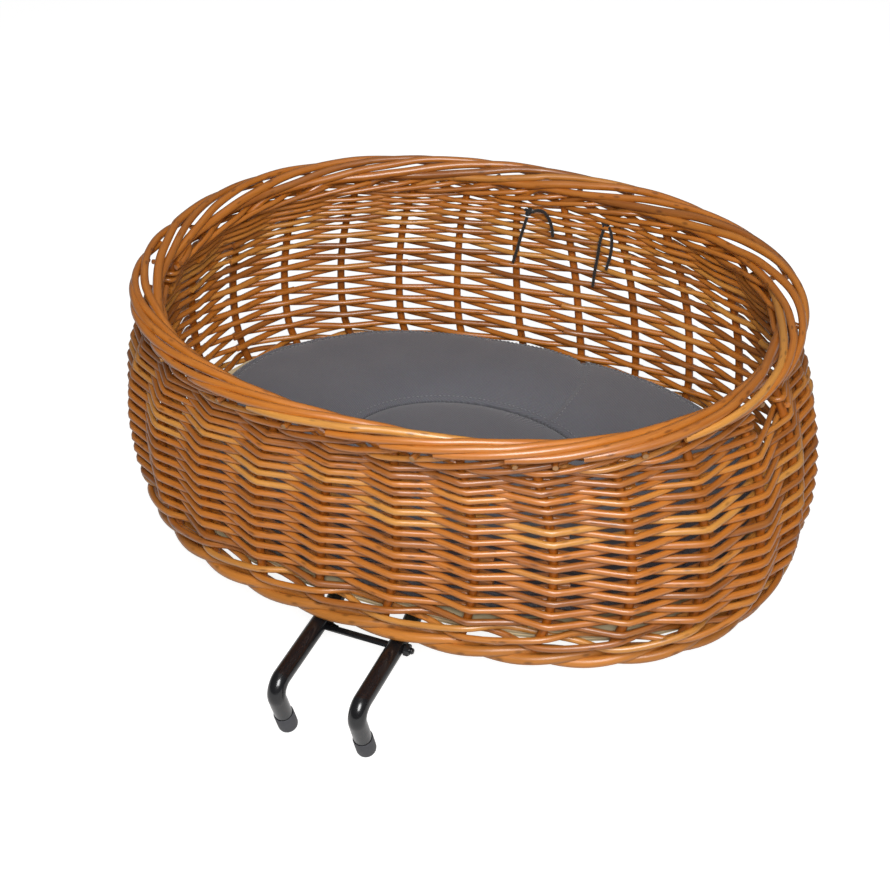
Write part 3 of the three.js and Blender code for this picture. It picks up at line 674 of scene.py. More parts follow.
class Row:
    """One row of randing: in front of every second stake and behind the others."""

    def __init__(self, sizes, around, index, height, diameter, chance):
        self.around = around
        self.height = height
        self.diameter = diameter
        self.side = parity(index)
        self.reach = sizes.stake / 2 + diameter / 2 - WEAVER_PRESS
        self.wave = chance.uniform(0, 100)

    def point(self, along, inwards=0.0, raised=0.0):
        unit = along / self.around.pitch - 0.5
        swing = math.asin(KINK * math.cos(math.pi * unit)) / math.asin(KINK)
        gap = 2 * (unit - math.floor(unit)) - 1
        inset = self.around.inset - self.side * self.reach * swing + FLATTEN * (1 - gap * gap) + inwards
        drift = (0.0007 * noise.noise((self.wave, along * 9, 0.5))
                 + 0.0004 * noise.noise((self.wave, along * 40, 9.5)))
        height = self.height + drift + raised
        return wall_point(self.around.leaning(along, height), height, inset)

    def behind(self, start):
        """The first stake at or after an index that the row passes behind."""
        return start if self.side * parity(start) < 0 else start + 1


def taper(diameter, count, chance, reverse):
    """Thickness along a weaver, from its butt to its tip, with the swellings of grown willow."""
    start = chance.uniform(0, 80)
    thick = []
    for k in range(count):
        share = k / max(1, count - 1)
        share = 1 - share if reverse else share
        thick.append(diameter / 2 * between(1.1, 0.88, share) * uneven(0.07, start + k * 0.09, 3.1, 0.7))
    return thick


def randing_lines(sizes, around, chance):
    lines = []
    step = around.pitch / SPAN_POINTS
    broken = []
    for index, (height, diameter) in enumerate(row_layout(sizes)):
        row = Row(sizes, around, index, height, diameter, chance)
        if height > HOLD_BOTTOM + diameter / 2:
            broken.append(row)
            continue
        # Each row is two rods; their ends lie side by side behind a stake
        first = row.behind(chance.randrange(around.count))
        second = row.behind(first + around.count // 2 + chance.randrange(-3, 4))
        for start, stop in ((first, second), (second, first + around.count)):
            begin = around.stake(start) - 1.6 * step
            finish = around.stake(stop) + 2.2 * step
            count = max(2, round((finish - begin) / step))
            points = []
            for along in spaced(begin, finish, count):
                tuck = smooth(1 - (finish - along) / (3.5 * step))
                points.append(row.point(along, inwards=0.0042 * tuck, raised=0.0012 * tuck))
            lines.append((points, taper(diameter, count + 1, chance, index % 2 == 1), chance.random()))
    lines.extend(hold_lines(around, broken, chance))
    return lines


def hold_stakes(around):
    """The stakes on the two sides of each hand-hold, as lengths of wall between them: front, then back."""
    left, right = around.count // 2, around.count - 2
    return ((left + 1, right), (right + 1, left + around.count))


def hold_lines(around, rows, chance):
    """Rows beside the hand-holds: the rods turn round the last stake and run back as the next row."""
    lines = []
    step = around.pitch / SPAN_POINTS
    for first, last in hold_stakes(around):
        points = []
        for index, row in enumerate(rows):
            start, stop = (first, last) if index % 2 == 0 else (last, first)
            count = abs(stop - start) * SPAN_POINTS
            turn = 1 if stop > start else -1
            for k in range(count + 1):
                points.append(row.point(around.stake(start) + turn * k * step))
            if index + 1 < len(rows):
                points.extend(turn_points(around, row, rows[index + 1], stop, turn))
        lines.append((points, taper(rows[0].diameter, len(points), chance, False), chance.random()))
    return lines


def turn_points(around, row, following, stake, turn):
    """Half a turn round a stake, from one row up to the next."""
    points = []
    side = row.side * parity(stake)
    for k in range(1, 6):
        swing = math.pi * k / 6
        height = between(row.height, following.height, k / 6)
        along = around.stake(stake) + turn * row.reach * math.sin(swing)
        inset = around.inset - side * row.reach * math.cos(swing)
        points.append(wall_point(around.leaning(along, height), height, inset))
    return points


def wale_lines(around, begin, finish, strands, middle, swing_height, diameter, reach, chance):
    """A wale: each rod goes once in front of and once behind every three stakes, rising and falling."""
    lines = []
    step = around.pitch / SPAN_POINTS
    count = round((finish - begin) / step)
    for strand in range(strands):
        points, thick = [], []
        wobble = chance.uniform(0, 60)
        for along in spaced(begin, finish, count):
            turn = math.tau * (along / around.pitch / 3 - strand / strands)
            out = reach * math.tanh(1.9 * math.cos(turn)) / math.tanh(0.95)
            height = middle + swing_height * math.sin(turn) + 0.0005 * noise.noise((wobble, along * 20, 1))
            points.append(wall_point(around.leaning(along, height), height, around.inset - out))
            thick.append(diameter / 2 * uneven(0.08, wobble, along * 12, 7))
        lines.append((points, thick, chance.random()))
    return lines


# Winding of a border rod: stake pitches run so far, and degrees round the border from outside by the top
BORDER_RUN = ((0.0, 232), (0.8, 204), (1.6, 162), (2.3, 118), (3.0, 78), (3.7, 40), (4.5, -2), (5.3, -46))


def border_lines(sizes, around, chance):
    """Rolled border: each stake bends over, runs along the inside, crosses over the top, and winds
    to the outside, where it is cut under the edge."""
    lines = []
    radius = sizes.border_rod / 2
    # The section is an oval that lies over to the inside: its outer end is the higher
    tilt_out, tilt_up = math.cos(BORDER_TILT), math.sin(BORDER_TILT)
    across = BORDER_WIDTH / 2 - radius
    up = BORDER_DEPTH / 2 - radius
    middle = BORDER_BOTTOM + BORDER_HEIGHT / 2
    lean = STAKE_LEAN * (STAKE_TOP - LEAN_PIVOT) / BORDER_TOP
    winding = curve_through(BORDER_RUN, 9)
    for index in range(around.count):
        wobble = chance.uniform(0, 60)
        fat = chance.uniform(0.9, 1.1)
        stretch = chance.uniform(0.94, 1.06)
        start = around.stake(index)
        points, thick = [], []
        for unit, degrees in winding:
            turn = math.radians(degrees + 9 * noise.noise((wobble, 1.3 * unit, 2)))
            wide, high = across * math.cos(turn), up * math.sin(turn)
            begin = smooth(unit / 0.6)
            out = between(-around.inset, wide * tilt_out - high * tilt_up, begin)
            wound = middle + wide * tilt_up + high * tilt_out
            height = between(STAKE_TOP - 0.004 + 0.012 * unit, wound, begin)
            height += 0.0006 * noise.noise((wobble, unit * 1.4, 4))
            angle = around.angle(start - around.pitch * stretch * unit) + lean
            points.append(wall_point(angle, height, -out, RIM_HEIGHT))
            thinned = radius * fat * between(1.06, 0.78, unit / BORDER_RUN[-1][0])
            thick.append(thinned * uneven(0.05, wobble, unit, 8))
        lines.append((points, thick, chance.random()))
    return lines


STUBS_PER_STAKE = 0.8
# How far inside the border's outline a stub starts
STUB_ROOT = 0.004
CUT_THICKNESS = 0.0004


def stub_lines(sizes, around, chance):
    """Ends of border rods that come out under the border's edge: the stubs, and the cuts on them."""
    stubs, cuts = [], []
    count = round(STUBS_PER_STAKE * around.count)
    for index in range(count):
        along = around.perimeter * (index + chance.uniform(-0.4, 0.4)) / count
        angle = around.angle(along)
        height = BORDER_BOTTOM + chance.uniform(0.0002, 0.0022)
        reach = chance.uniform(0.0065, 0.0085)
        radius = sizes.wale_rod * chance.uniform(0.42, 0.52)
        slant = chance.uniform(-0.02, 0.02)
        inner = wall_point(angle, height + 0.002, STUB_ROOT, RIM_HEIGHT)
        outer = wall_point(angle + slant, height, -reach, RIM_HEIGHT)
        stubs.append(([inner, outer], radius, chance.random()))
        cuts.append(([outer, outer + (outer - inner).normalized() * CUT_THICKNESS], radius * 0.94, 0.5))
    return stubs, cuts


def foot_lines(sizes, around, chance):
    """Foot border: three thick rods twisted into a rope."""
    lines = []
    radius = sizes.foot_rod / 2
    middle = 0.0078
    centre_inset = 0.0062
    across, up = 0.0056, 0.0034
    turns = 10
    count = around.count * SPAN_POINTS
    for strand in range(3):
        points, thick = [], []
        wobble = chance.uniform(0, 60)
        for k in range(count):
            angle = around.angle(k * around.perimeter / count)
            turn = math.tau * (turns * k / count + strand / 3)
            points.append(wall_point(angle, middle + up * math.sin(turn),
                                     centre_inset - across * math.cos(turn), 0.0))
            thick.append(radius * 0.95 * uneven(0.06, wobble, k * 0.12, 0))
        points.append(points[0].copy())
        thick.append(thick[0])
        lines.append((points, thick, chance.random()))
    return lines


# Cushion

CUSHION_BASE = 0.0293
CUSHION_SQUARENESS = 2.25
# Sections of the ring and the pad: share of the way in or out, and share of the height
RING_PROFILE = (
    (0.045, 0.0), (0.012, 0.12), (0.0, 0.34), (0.012, 0.6), (0.045, 0.8), (0.08, 0.86), (0.12, 0.93),
    (0.25, 1.0), (0.42, 1.0), (0.6, 0.93), (0.76, 0.8), (0.88, 0.64), (0.95, 0.5), (0.985, 0.4), (1.0, 0.3),
    (0.99, 0.12), (0.96, 0.0),
)
# The part of the ring's section that faces up, from the outer edge to the pad
RING_TOP = RING_PROFILE[4:15]
PAD_PROFILE = (
    (0.965, 0.0), (0.992, 0.18), (0.998, 0.34), (0.985, 0.5), (0.95, 0.62), (0.85, 0.77), (0.65, 0.9),
    (0.35, 0.98), (0.05, 1.0),
)
RING_SEAM_X = 0.050
# Folds of the cloth, in metres of height
SEAM_DIP, SEAM_HOLLOW = 0.0035, 0.002
RING_SWELL, RING_RIPPLE, PAD_SWELL = 0.0045, 0.0016, 0.0018
PUCKER = 0.0006
HEM_CHANNEL = 0.0016
# Rows of stitches round the ring: share of the way in, and share of the height
STITCH_ROWS = ((0.972, 0.44), (0.062, 0.83), (0.108, 0.91))
STITCH_LIFT = Vector((0, 0, 0.0006))
STITCH_WIDTH = 0.0008
# How far the stitches of the cross seam run beside it
SEAM_STITCH_GAP = 0.0055


def curve_through(knots, steps):
    """Points along a smooth open curve through knots of any size."""
    points = []
    last = len(knots) - 1
    for i in range(last):
        a, b, c, d = (Vector(knots[min(last, max(0, i + j))]) for j in (-1, 0, 1, 2))
        for k in range(steps):
            t = k / steps
            points.append(0.5 * (2 * b + (c - a) * t + (2 * a - 5 * b + 4 * c - d) * t * t
                                 + (3 * b - a - 3 * c + d) * t ** 3))
    points.append(Vector(knots[-1]))
    return points


def ridge(distance, reach):
    """A soft fold: 1 at its middle, and gone soon after its reach."""
    return math.exp(-(distance / reach) ** 2)


def hills(flat, scale, layer):
    return noise.noise((flat.x * scale, flat.y * scale, layer))


class Cushion:
    """The cushion's surface: a padded ring round a lower pad."""

    def __init__(self, sizes):
        self.sizes = sizes
        # The seam across the ring runs straight along Y: its angle on the outer edge and on the pad's edge
        self.seams = (math.acos((RING_SEAM_X / sizes.half_length) ** (CUSHION_SQUARENESS / 2)),
                      math.acos(RING_SEAM_X / sizes.pad_half_length))

    def outer(self, angle):
        return oval_point(angle, self.sizes.half_length, self.sizes.half_width, CUSHION_SQUARENESS)

    def inner(self, angle):
        return oval_point(angle, self.sizes.pad_half_length, self.sizes.pad_half_width, 2.0)

    def ring(self, angle, inwards, up):
        flat = self.outer(angle).lerp(self.inner(angle), inwards)
        off_seam = (angle - between(*self.seams, inwards) + math.pi) % math.tau - math.pi
        reach = flat.length * off_seam
        gather = math.sin(angle * 150 + 3 * noise.noise((angle * 9, 0, 0)))
        fold = RING_SWELL * hills(flat, 11, 0.3) + RING_RIPPLE * hills(flat, 28, 4.3)
        fold += PUCKER * gather * ridge(1 - inwards, 0.09)
        fold += PUCKER * math.sin(angle * 210) * ridge(inwards - 0.08, 0.03)
        fold -= SEAM_DIP * ridge(reach, 0.0035) + SEAM_HOLLOW * ridge(reach, 0.02)
        fold -= HEM_CHANNEL * ridge(inwards - 0.085, 0.012)
        height = CUSHION_BASE + up * self.sizes.height + smooth((up - 0.35) / 0.4) * fold
        return CENTRE + Vector((flat.x, flat.y, height))

    def pad(self, angle, out, up):
        flat = self.inner(angle) * out
        fold = PAD_SWELL * hills(flat, 13, 7.3) + PUCKER * math.sin(angle * 150) * ridge(1 - out, 0.1)
        height = CUSHION_BASE + up * self.sizes.pad_height + smooth((up - 0.3) / 0.4) * fold
        return CENTRE + Vector((flat.x, flat.y, height))


def lofted(name, sections, ring, material, flat=False):
    """A mesh through closed sections, joined into a ring or closed by a lid at each end."""
    mesh = bpy.data.meshes.new(name)
    count = len(sections[0])
    points = [point for section in sections for point in section]
    faces = []
    total = len(sections)
    for i in range(total if ring else total - 1):
        here, after = i * count, (i + 1) % total * count
        for j in range(count):
            k = (j + 1) % count
            faces.append((here + j, here + k, after + k, after + j))
    if not ring:
        faces.append(tuple(range(count)))
        faces.append(tuple(range((total - 1) * count, total * count)))
    mesh.from_pydata(points, [], faces)
    work = bmesh.new()
    work.from_mesh(mesh)
    bmesh.ops.recalc_face_normals(work, faces=work.faces)
    for face in work.faces:
        face.smooth = not flat
    work.to_mesh(mesh)
    work.free()
    mesh.materials.append(MATERIALS[material])
    return show(name, mesh)


def make_cushion(sizes):
    cushion = Cushion(sizes)
    # The sections stand closer together beside the cross seam
    first, last = cushion.seams[1] - 0.04, cushion.seams[0] + 0.04
    fine = round((last - first) / 0.006)
    angles = [math.tau * k / 300 for k in range(300)]
    angles = [a for a in angles if not first - 0.01 < a < last + 0.01]
    angles += spaced(first, last, fine)
    angles.sort()
    ring_profile, pad_profile = curve_through(RING_PROFILE, 3), curve_through(PAD_PROFILE, 3)
    ring = lofted("cushion_ring_cloth", [[cushion.ring(a, p.x, p.y) for p in ring_profile] for a in angles],
                  True, "cotton")
    pad = lofted("cushion_pad_cloth", [[cushion.pad(a, p.x, p.y) for a in angles] for p in pad_profile],
                 False, "cotton")
    rows = [[cushion.ring(math.tau * k / 400, inwards, up) + STITCH_LIFT for k in range(401)]
            for inwards, up in STITCH_ROWS]
    cross = []
    for inwards in spaced(0.13, 0.93, 60):
        aside = SEAM_STITCH_GAP / between(sizes.half_width, sizes.pad_half_width, inwards)
        place = between(*cushion.seams, inwards) - aside
        cross.append(cushion.ring(place, inwards, ring_height(inwards)) + STITCH_LIFT)
    stitches = grow("cushion_stitches", [(row, STITCH_WIDTH, 0.5) for row in (*rows, cross)], "stitches",
                    {"Pitch": sizes.stitch, "Length": sizes.stitch * 0.68, "Width": STITCH_WIDTH,
                     "Material": MATERIALS["thread"]})
    return ring, pad, stitches


def ring_height(inwards):
    """The height share of the ring's top at a share of the way in."""
    for (x0, y0), (x1, y1) in zip(RING_TOP, RING_TOP[1:]):
        if x0 <= inwards <= x1:
            return between(y0, y1, (inwards - x0) / (x1 - x0))
    return RING_TOP[-1][1]


# Hook bracket; places are metres from the basket's centre

BAR_SPACING = 0.069
BRACKET_X = -0.014
BAR_INNER_END = 0.070
RISE_START, RISE_END = 0.173, 0.131
ROD_PLACE = 0.199
HOOK_REACH = 0.272
HOOK_LEG = 0.041
BOARD_BOTTOM = 0.018
SEAT_GAP = 0.0003
# A packed bar is a prism: the distance of its flats, as a share of its radius
FACET = math.cos(math.pi / 12)
# Cap: how far it reaches past the bar, its wall, the play round the bar and the rounding of its tip
CAP_REACH = 0.0029
CAP_WALL, CAP_PLAY = 0.0009, 0.0003
CAP_TIP = ((0.0026, 0.0), (0.0011, 0.0003), (0.0003, 0.0012), (0.0, 0.0026))
# Cross rod: its end past the nut's seat, and the thread on that end
ROD_END = 0.0077
THREAD_LENGTH, THREAD_PITCH, THREAD_DEPTH, THREAD_TURNS = 0.011, 0.00075, 0.0003, 14
THREAD_CREST = 0.0004
ROD_CHAMFER = 0.0008
# Nut: width over its flats, and its section as (share of the width, height)
NUT_WIDTH = 0.009
NUT_PROFILE = ((0.86, 0.0), (1.0, 0.0007), (1.0, 0.0043), (0.86, 0.005))
LUG_WIDTH, LUG_LENGTH = 0.010, 0.015
LUG_LEVELS = (-0.002, -0.0015, 0.0015, 0.002)


def bar_path(sizes):
    """The bar's middle line as (y, z) points, from under the board to the tip of the hook."""
    reach = sizes.bar / 2 * FACET
    high, low = BOARD_BOTTOM - SEAT_GAP - reach, -SEAT_GAP - reach
    path = [Vector((between(BAR_INNER_END, -RISE_END, k / 12), high)) for k in range(12)]
    for k in range(25):
        path.append(Vector((-between(RISE_END, RISE_START, k / 24), between(high, low, smooth(k / 24)))))
    path += [Vector((between(-RISE_START, -(HOOK_REACH - sizes.bend), k / 6), low)) for k in range(1, 6)]
    for k in range(25):
        turn = (math.pi / 2 + sizes.lean) * k / 24
        path.append(Vector((-(HOOK_REACH - sizes.bend) - sizes.bend * math.sin(turn),
                            low - sizes.bend + sizes.bend * math.cos(turn))))
    leg = Vector((math.sin(sizes.lean), -math.cos(sizes.lean)))
    tip = path[-1] + leg * HOOK_LEG
    path += [path[-1].lerp(tip, k / 4) for k in range(1, 5)]
    return path, leg, low


def spun(name, profile, origin, axis, material, sides=32, flat=False):
    """A turned solid or a prism: (radius, height) pairs about an axis from an origin."""
    turn = Vector((0, 0, 1)).rotation_difference(axis).to_matrix()
    turns = [math.tau * k / sides for k in range(sides)]
    sections = [[origin + turn @ Vector((radius * math.cos(t), radius * math.sin(t), height)) for t in turns]
                for radius, height in profile]
    return lofted(name, sections, False, material, flat)


def cap_profile(radius, height):
    """Section of an end cap: from its rounded tip up the outside, and down again inside."""
    outer, inner = radius + CAP_WALL, radius + CAP_PLAY
    tip = [(outer - inset, level) for inset, level in CAP_TIP]
    rim = [(outer, height - 0.0008), (outer - 0.0004, height - 0.0001), (inner, height)]
    return tip + rim + [(inner, CAP_TIP[-1][1])]


def rod_profile(radius, span):
    """Section of the cross rod: a plain length, then the ridges of its thread and a chamfer."""
    thread = span - THREAD_LENGTH
    profile = [(radius, 0), (radius, thread)]
    for k in range(THREAD_TURNS):
        crest = thread + k * THREAD_PITCH
        profile += [(radius, crest), (radius - THREAD_DEPTH, crest + THREAD_CREST)]
    return profile + [(radius - ROD_CHAMFER, span)]


def joined(name, pieces):
    """Several pieces of one material as one mesh object."""
    mesh = bpy.data.meshes.new(name)
    mesh.materials.append(pieces[0].data.materials[0])
    work = bmesh.new()
    for piece in pieces:
        work.from_mesh(piece.data)
        bpy.data.objects.remove(piece)
    work.to_mesh(mesh)
    work.free()
    return show(name, mesh)


# Ties: tail points are steps from the knot's centre, in millimetres

TIES = (
    ("left", {
        "hanging": ((-0.4, -1.5, -5), (-1.5, -6.5, -12), (-4, -9, -24), (-7, -10.5, -38), (-10, -12, -50)),
        "arched": ((4.9, -2, 1.5), (10, -4, 5), (17, -5.5, 5.5), (23, -6, -1), (26, -6, -10), (27, -6, -18)),
    }),
    ("right", {
        "hanging": ((-1, -2, -5), (-2, -8, -14), (-3, -10, -30), (-4.5, -11.5, -46), (-5, -13, -60)),
        "arched": ((4.8, -3, -1), (8.5, -8, -6), (10, -10.5, -16), (9, -11, -28), (6.5, -12, -40)),
    }),
)
TIE_DIAMETER = 0.003
# Each knot is a trefoil: a third of its reach, and its depth from the wall
KNOT_LOBE, KNOT_DEPTH = 0.00105, 0.0012
KNOT_STEPS = 72


# Operators

class BASKET_OT_ties(bpy.types.Operator):
    """Ties on the inside of the back wall: two knots, each with a hanging and an arched tail"""
    bl_idname = "basket.ties"
    bl_label = "Ties"

    def execute(self, context):
        for side, tails in TIES:
            low, high = (Vector(corner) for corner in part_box(f"tie_knot_{side}"))
            centre = (low + high) / 2
            loops = []
            for turn in spaced(0.0, math.tau, KNOT_STEPS):
                loops.append(centre + Vector((
                    (math.sin(turn) + 2 * math.sin(2 * turn)) * KNOT_LOBE,
                    -math.sin(3 * turn) * KNOT_DEPTH,
                    (math.cos(turn) - 2 * math.cos(2 * turn)) * KNOT_LOBE,
                )))
            knot = rods(f"tie_{side}_knot", [(loops, TIE_DIAMETER * 0.52, 0.5)], "cord", 10)
            settle(knot, "basket", "cord", f"tie_knot_{side}")
            for kind, steps in tails.items():
                path = curve_through([centre + Vector(step) * MM for step in steps], 5)
                tail = rods(f"tie_{side}_{kind}", [(path, TIE_DIAMETER / 2, 0.5)], "cord", 10)
                settle(tail, "basket", "cord", f"tie_tail_{side}_{kind}")
        return {"FINISHED"}


class BASKET_OT_stakes(bpy.types.Operator):
    """Upright stakes of the wall"""
    bl_idname = "basket.stakes"
    bl_label = "Stakes"

    def execute(self, context):
        sizes = context.scene.basket_sizes
        lines = stake_lines(sizes, Round(sizes), random.Random(sizes.seed))
        piece = rods("stakes", lines, "stake", 10)
        settle(piece, "basket", "stake_willow", *[f"stake_{k + 1:02d}" for k in range(sizes.stake_count)])
        return {"FINISHED"}


class BASKET_OT_randing(bpy.types.Operator):
    """Randed wall: rods woven in front of and behind the stakes in turn"""
    bl_idname = "basket.randing"
    bl_label = "Randing"

    def execute(self, context):
        sizes = context.scene.basket_sizes
        lines = randing_lines(sizes, Round(sizes), random.Random(sizes.seed + 1))
        settle(rods("randing", lines, "willow", 8), "basket", "willow", "wall_weave")
        return {"FINISHED"}


# Wales: number of rods, and how far each one swings up and down
TOP_WALE_RODS, TOP_WALE_SWING = 4, 0.0042
FOOT_WALE_RODS, FOOT_WALE_SWING = 3, 0.0046
FOOT_WALE_MIDDLE = 0.0245
# A foot wale's rod against a top wale's, and the end of a top wale past its last stake
FOOT_WALE_SCALE = 1.2
WALE_END = 0.0055


class BASKET_OT_wales(bpy.types.Operator):
    """Wales: rods that wind round the stakes, three above the foot and four under the border"""
    bl_idname = "basket.wales"
    bl_label = "Wales"

    def execute(self, context):
        sizes = context.scene.basket_sizes
        around = Round(sizes)
        chance = random.Random(sizes.seed + 2)
        reach = sizes.stake / 2 + sizes.wale_rod / 2 - WALE_PRESS
        for name, (first, last) in zip(("front", "back"), hold_stakes(around)):
            begin, finish = around.stake(first) - WALE_END, around.stake(last) + WALE_END
            lines = wale_lines(around, begin, finish, TOP_WALE_RODS, TOP_WALE_MIDDLE, TOP_WALE_SWING,
                               sizes.wale_rod, reach, chance)
            settle(rods(f"wale_{name}", lines, "willow", 8), "basket", "willow", f"top_wale_{name}")
        foot = wale_lines(around, 0.0, around.perimeter + around.pitch, FOOT_WALE_RODS, FOOT_WALE_MIDDLE,
                          FOOT_WALE_SWING, sizes.wale_rod * FOOT_WALE_SCALE, reach, chance)
        settle(rods("wale_foot", foot, "willow", 8), "basket", "willow", "foot_wale")
        return {"FINISHED"}


class BASKET_OT_borders(bpy.types.Operator):
    """Rolled top border and twisted foot border"""
    bl_idname = "basket.borders"
    bl_label = "Borders"

    def execute(self, context):
        sizes = context.scene.basket_sizes
        around = Round(sizes)
        chance = random.Random(sizes.seed + 3)
        stubs, cuts = stub_lines(sizes, around, random.Random(sizes.seed + 4))
        lines = border_lines(sizes, around, chance) + stubs
        settle(rods("border", lines, "willow", 8), "basket", "willow", "top_border")
        settle(rods("border_cuts", cuts, "cut", 10), "basket", "willow")
        rope = rods("foot_rope", foot_lines(sizes, around, chance), "foot", 10)
        settle(rope, "basket", "foot_willow", "foot_border")
        return {"FINISHED"}


class BASKET_OT_board(bpy.types.Operator):
    """Plywood base and the fittings under it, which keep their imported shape"""
    bl_idname = "basket.board"
    bl_label = "Board and fittings"

    def execute(self, context):
        finish = {"base_board": "plywood", "clamp_plate_front": "enamel", "clamp_plate_back": "enamel"}
        for name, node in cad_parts.items():
            kind = finish.get(name) or ("zinc" if name.startswith(("clamp_bolt", "clamp_nut")) else None)
            if kind:
                node.data.materials.clear()
                node.data.materials.append(MATERIALS[kind])
        return {"FINISHED"}


class BASKET_OT_cushion(bpy.types.Operator):
    """Grey cotton cushion: a padded ring, a pad and their stitches"""
    bl_idname = "basket.cushion"
    bl_label = "Cushion"

    def execute(self, context):
        ring, pad, stitches = make_cushion(context.scene.cushion_sizes)
        settle(ring, "cushion", "cotton", "cushion_ring")
        settle(pad, "cushion", "cotton", "cushion_pad")
        settle(stitches, "cushion", "cotton")
        return {"FINISHED"}


class BASKET_OT_bracket(bpy.types.Operator):
    """Hook bracket: two bent bars with plastic caps, the cross rod, its lug and its nut"""
    bl_idname = "basket.bracket"
    bl_label = "Hook bracket"

    def execute(self, context):
        sizes = context.scene.bracket_sizes
        path, leg, low = bar_path(sizes)
        radius = sizes.bar / 2
        rod_radius = sizes.rod / 2
        left, right = BRACKET_X - BAR_SPACING / 2, BRACKET_X + BAR_SPACING / 2
        for side, x in (("left", left), ("right", right)):
            line = [CENTRE + Vector((x, p.x, p.y)) for p in path]
            bar = rods(f"bar_{side}", [(line, radius, 0.5)], "enamel", 24)
            if side == "left":
                bar = joined("bar_left", [bar, self.lug(x + radius, low, rod_radius, radius)])
            settle(bar, "basket", "black_enamel", f"hook_bar_{side}")
            down = Vector((0, leg.x, leg.y))
            tip = line[-1] + down * CAP_REACH
            cap = spun(f"cap_{side}", cap_profile(radius, sizes.cap), tip, -down, "cap")
            settle(cap, "basket", "grey_plastic", f"end_cap_{side}")
        across = Vector((1, 0, 0))
        start, face = (x + radius * FACET + SEAT_GAP for x in (left, right))
        profile = rod_profile(rod_radius, face + SEAT_GAP + ROD_END - start)
        rod = spun("cross_rod_steel", profile, CENTRE + Vector((start, -ROD_PLACE, low)), across, "enamel")
        settle(rod, "basket", "black_enamel", "cross_rod")
        profile = [(share * NUT_WIDTH / math.sqrt(3), height) for share, height in NUT_PROFILE]
        seat = CENTRE + Vector((face, -ROD_PLACE, low))
        nut = spun("lock_nut_steel", profile, seat, across, "enamel", 6, True)
        settle(nut, "lock_nut", "black_enamel", "lock_nut")
        return {"FINISHED"}

    def lug(self, side, low, rod_radius, radius):
        """The welded lug beside the left bar, with its concave edge."""
        front = -ROD_PLACE + rod_radius + SEAT_GAP
        back = front + LUG_LENGTH
        a, b, c = Vector((side + LUG_WIDTH, front)), Vector((side, front)), Vector((side, back))
        edge = [(1 - t) ** 2 * a + 2 * t * (1 - t) * b + t * t * c for t in (k / 8 for k in range(9))]
        outline = [Vector((side - radius / 2, front)), *edge, Vector((side - radius / 2, back))]
        sections = [[CENTRE + Vector((p.x, p.y, low + level)) for p in outline] for level in LUG_LEVELS]
        return lofted("lug", sections, False, "enamel", True)


# Stage: the camera as fitted to the photo, the floor, the world and the lamps

FLOOR_GAP = 0.0006
FLOOR_REACH = 6.0
FLOOR_PAPER = (0.5, 0.5, 0.5, 1)
# How bright the floor looks, and the share of that which glossy things show
FLOOR_GLOW, FLOOR_IN_GLOSS = 0.88, 0.3
# Light from all round, and as glossy things show it
WORLD_FILL, WORLD_IN_GLOSS = 0.1, 0.12
# Name, place from the basket's centre, size in metres, watts
LAMPS = (
    ("key", (0.42, -0.92, 1.12), (0.56, 0.76), 23),
    ("top", (-0.2, 0.5, 2.2), (1.6, 1.6), 3.5),
)
LAMP_TARGET = Vector((0, 0, 0.1))
SENSOR_WIDTH = 36
PHOTO_SIDE = 890
CAMERA_TARGET = Vector((0, 0, 0.08164))
CAMERA_AZIMUTH = math.radians(21.72)
CAMERA_ELEVATION = math.radians(35.08)
CAMERA_DISTANCE = 1.21936
FOCAL_PIXELS = 1399.35
PRINCIPAL_X, PRINCIPAL_Y = 464.57, 416.09


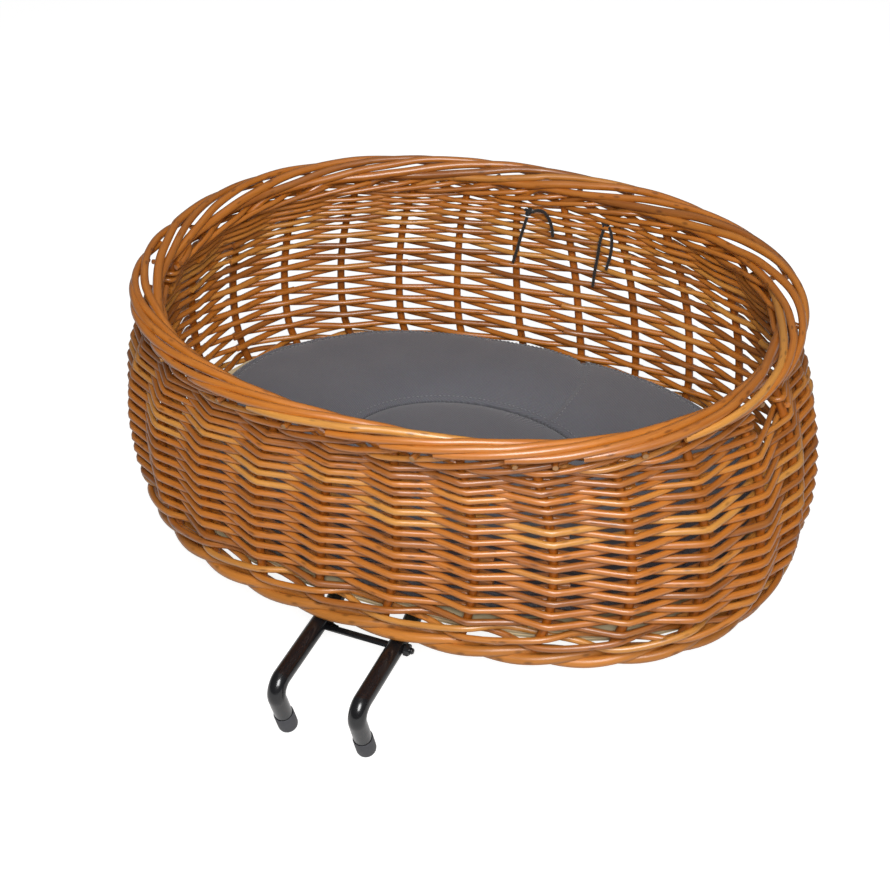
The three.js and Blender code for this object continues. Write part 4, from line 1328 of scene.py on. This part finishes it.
class BASKET_OT_stage(bpy.types.Operator):
    """Camera, pale floor and soft studio light"""
    bl_idname = "basket.stage"
    bl_label = "Stage"

    def execute(self, context):
        scene = context.scene
        scene.view_settings.view_transform = "Standard"
        self.camera(scene)
        self.floor()
        self.world(scene)
        for lamp in LAMPS:
            self.lamp(scene, *lamp)
        return {"FINISHED"}

    def camera(self, scene):
        back = Vector((math.sin(CAMERA_AZIMUTH) * math.cos(CAMERA_ELEVATION),
                       -math.cos(CAMERA_AZIMUTH) * math.cos(CAMERA_ELEVATION), math.sin(CAMERA_ELEVATION)))
        right = Vector((math.cos(CAMERA_AZIMUTH), math.sin(CAMERA_AZIMUTH), 0))
        up = back.cross(right)
        data = bpy.data.cameras.new("photo_camera")
        data.sensor_width = SENSOR_WIDTH
        data.lens = SENSOR_WIDTH * FOCAL_PIXELS / PHOTO_SIDE
        data.shift_x = (PHOTO_SIDE / 2 - PRINCIPAL_X) / PHOTO_SIDE
        data.shift_y = (PRINCIPAL_Y - PHOTO_SIDE / 2) / PHOTO_SIDE
        data.clip_start, data.clip_end = 0.01, 50
        camera = bpy.data.objects.new("photo_camera", data)
        camera.matrix_world = Matrix.Translation(CENTRE + CAMERA_TARGET + back * CAMERA_DISTANCE) @ Matrix(
            (right, up, back)).transposed().to_4x4()
        scene.collection.objects.link(camera)
        scene.camera = camera

    def floor(self):
        height = CAD_BOX[0][2] - FLOOR_GAP
        mesh = bpy.data.meshes.new("floor")
        mesh.from_pydata([(x * FLOOR_REACH, y * FLOOR_REACH, height)
                          for x, y in ((-1, -1), (1, -1), (1, 1), (-1, 1))], [], [(0, 1, 2, 3)])
        material, tree = new_material("White paper floor")
        ray = add_node(tree, "ShaderNodeLightPath").outputs
        seen = calc(tree, "MULTIPLY_ADD", ray["Is Glossy Ray"], FLOOR_IN_GLOSS, ray["Is Camera Ray"])
        glow = calc(tree, "MULTIPLY", seen, FLOOR_GLOW)
        paper = add_node(tree, "ShaderNodeBsdfDiffuse", inputs={"Color": FLOOR_PAPER})
        shine = add_node(tree, "ShaderNodeEmission", inputs={"Strength": glow})
        both = add_node(tree, "ShaderNodeAddShader", inputs={0: paper.outputs[0], 1: shine.outputs[0]})
        add_node(tree, "ShaderNodeOutputMaterial", inputs={"Surface": both.outputs[0]})
        mesh.materials.append(material)
        show("floor", mesh)

    def world(self, scene):
        world = bpy.data.worlds.new("studio")
        scene.world = world
        world.use_nodes = True
        tree = world.node_tree
        tree.nodes.clear()
        ray = add_node(tree, "ShaderNodeLightPath").outputs
        seen = calc(tree, "MAXIMUM", ray["Is Camera Ray"], ray["Is Transmission Ray"])
        fill = spread(tree, ray["Is Glossy Ray"], 0.0, 1.0, WORLD_FILL, WORLD_IN_GLOSS)
        background = add_node(tree, "ShaderNodeBackground",
                              inputs={"Color": (1, 1, 1, 1), "Strength": calc(tree, "MAXIMUM", seen, fill)})
        output = add_node(tree, "ShaderNodeOutputWorld", inputs={"Surface": background.outputs[0]})
        output.is_active_output = True

    def lamp(self, scene, name, place, size, power):
        data = bpy.data.lights.new(name, "AREA")
        data.shape = "RECTANGLE"
        data.size, data.size_y = size
        data.energy = power
        lamp = bpy.data.objects.new(name, data)
        lamp.location = CENTRE + Vector(place)
        lamp.rotation_euler = (Vector(place) - LAMP_TARGET).to_track_quat("Z", "Y").to_euler()
        scene.collection.objects.link(lamp)


PIECES = (BASKET_OT_stage, BASKET_OT_ties, BASKET_OT_stakes, BASKET_OT_randing, BASKET_OT_wales,
          BASKET_OT_borders, BASKET_OT_board, BASKET_OT_cushion, BASKET_OT_bracket)


class BASKET_PT_panel(bpy.types.Panel):
    """Lists the basket's settings and the operators that build its pieces"""
    bl_label = "Willow basket"
    bl_idname = "BASKET_PT_panel"
    bl_space_type = "VIEW_3D"
    bl_region_type = "UI"
    bl_category = "Basket"

    def draw(self, context):
        layout = self.layout
        for name, group in SETTINGS.items():
            box = layout.box()
            for key in group.__annotations__:
                box.prop(getattr(context.scene, name), key)
        for piece in PIECES:
            layout.operator(piece.bl_idname)


CLASSES = (*SETTINGS.values(), *PIECES, BASKET_PT_panel)


def register():
    for kind in CLASSES:
        bpy.utils.register_class(kind)
    for name, kind in SETTINGS.items():
        setattr(bpy.types.Scene, name, PointerProperty(type=kind))


def unregister():
    for name in SETTINGS:
        delattr(bpy.types.Scene, name)
    for kind in reversed(CLASSES):
        bpy.utils.unregister_class(kind)


def main():
    register()
    TREES.update({"rods": rod_tree(), "stitches": stitch_tree()})
    make_materials(bpy.context.scene.basket_finishes)
    for piece in PIECES:
        area, name = piece.bl_idname.split(".")
        getattr(getattr(bpy.ops, area), name)()
    bpy.context.view_layer.update()


if __name__ == "__main__":
    main()
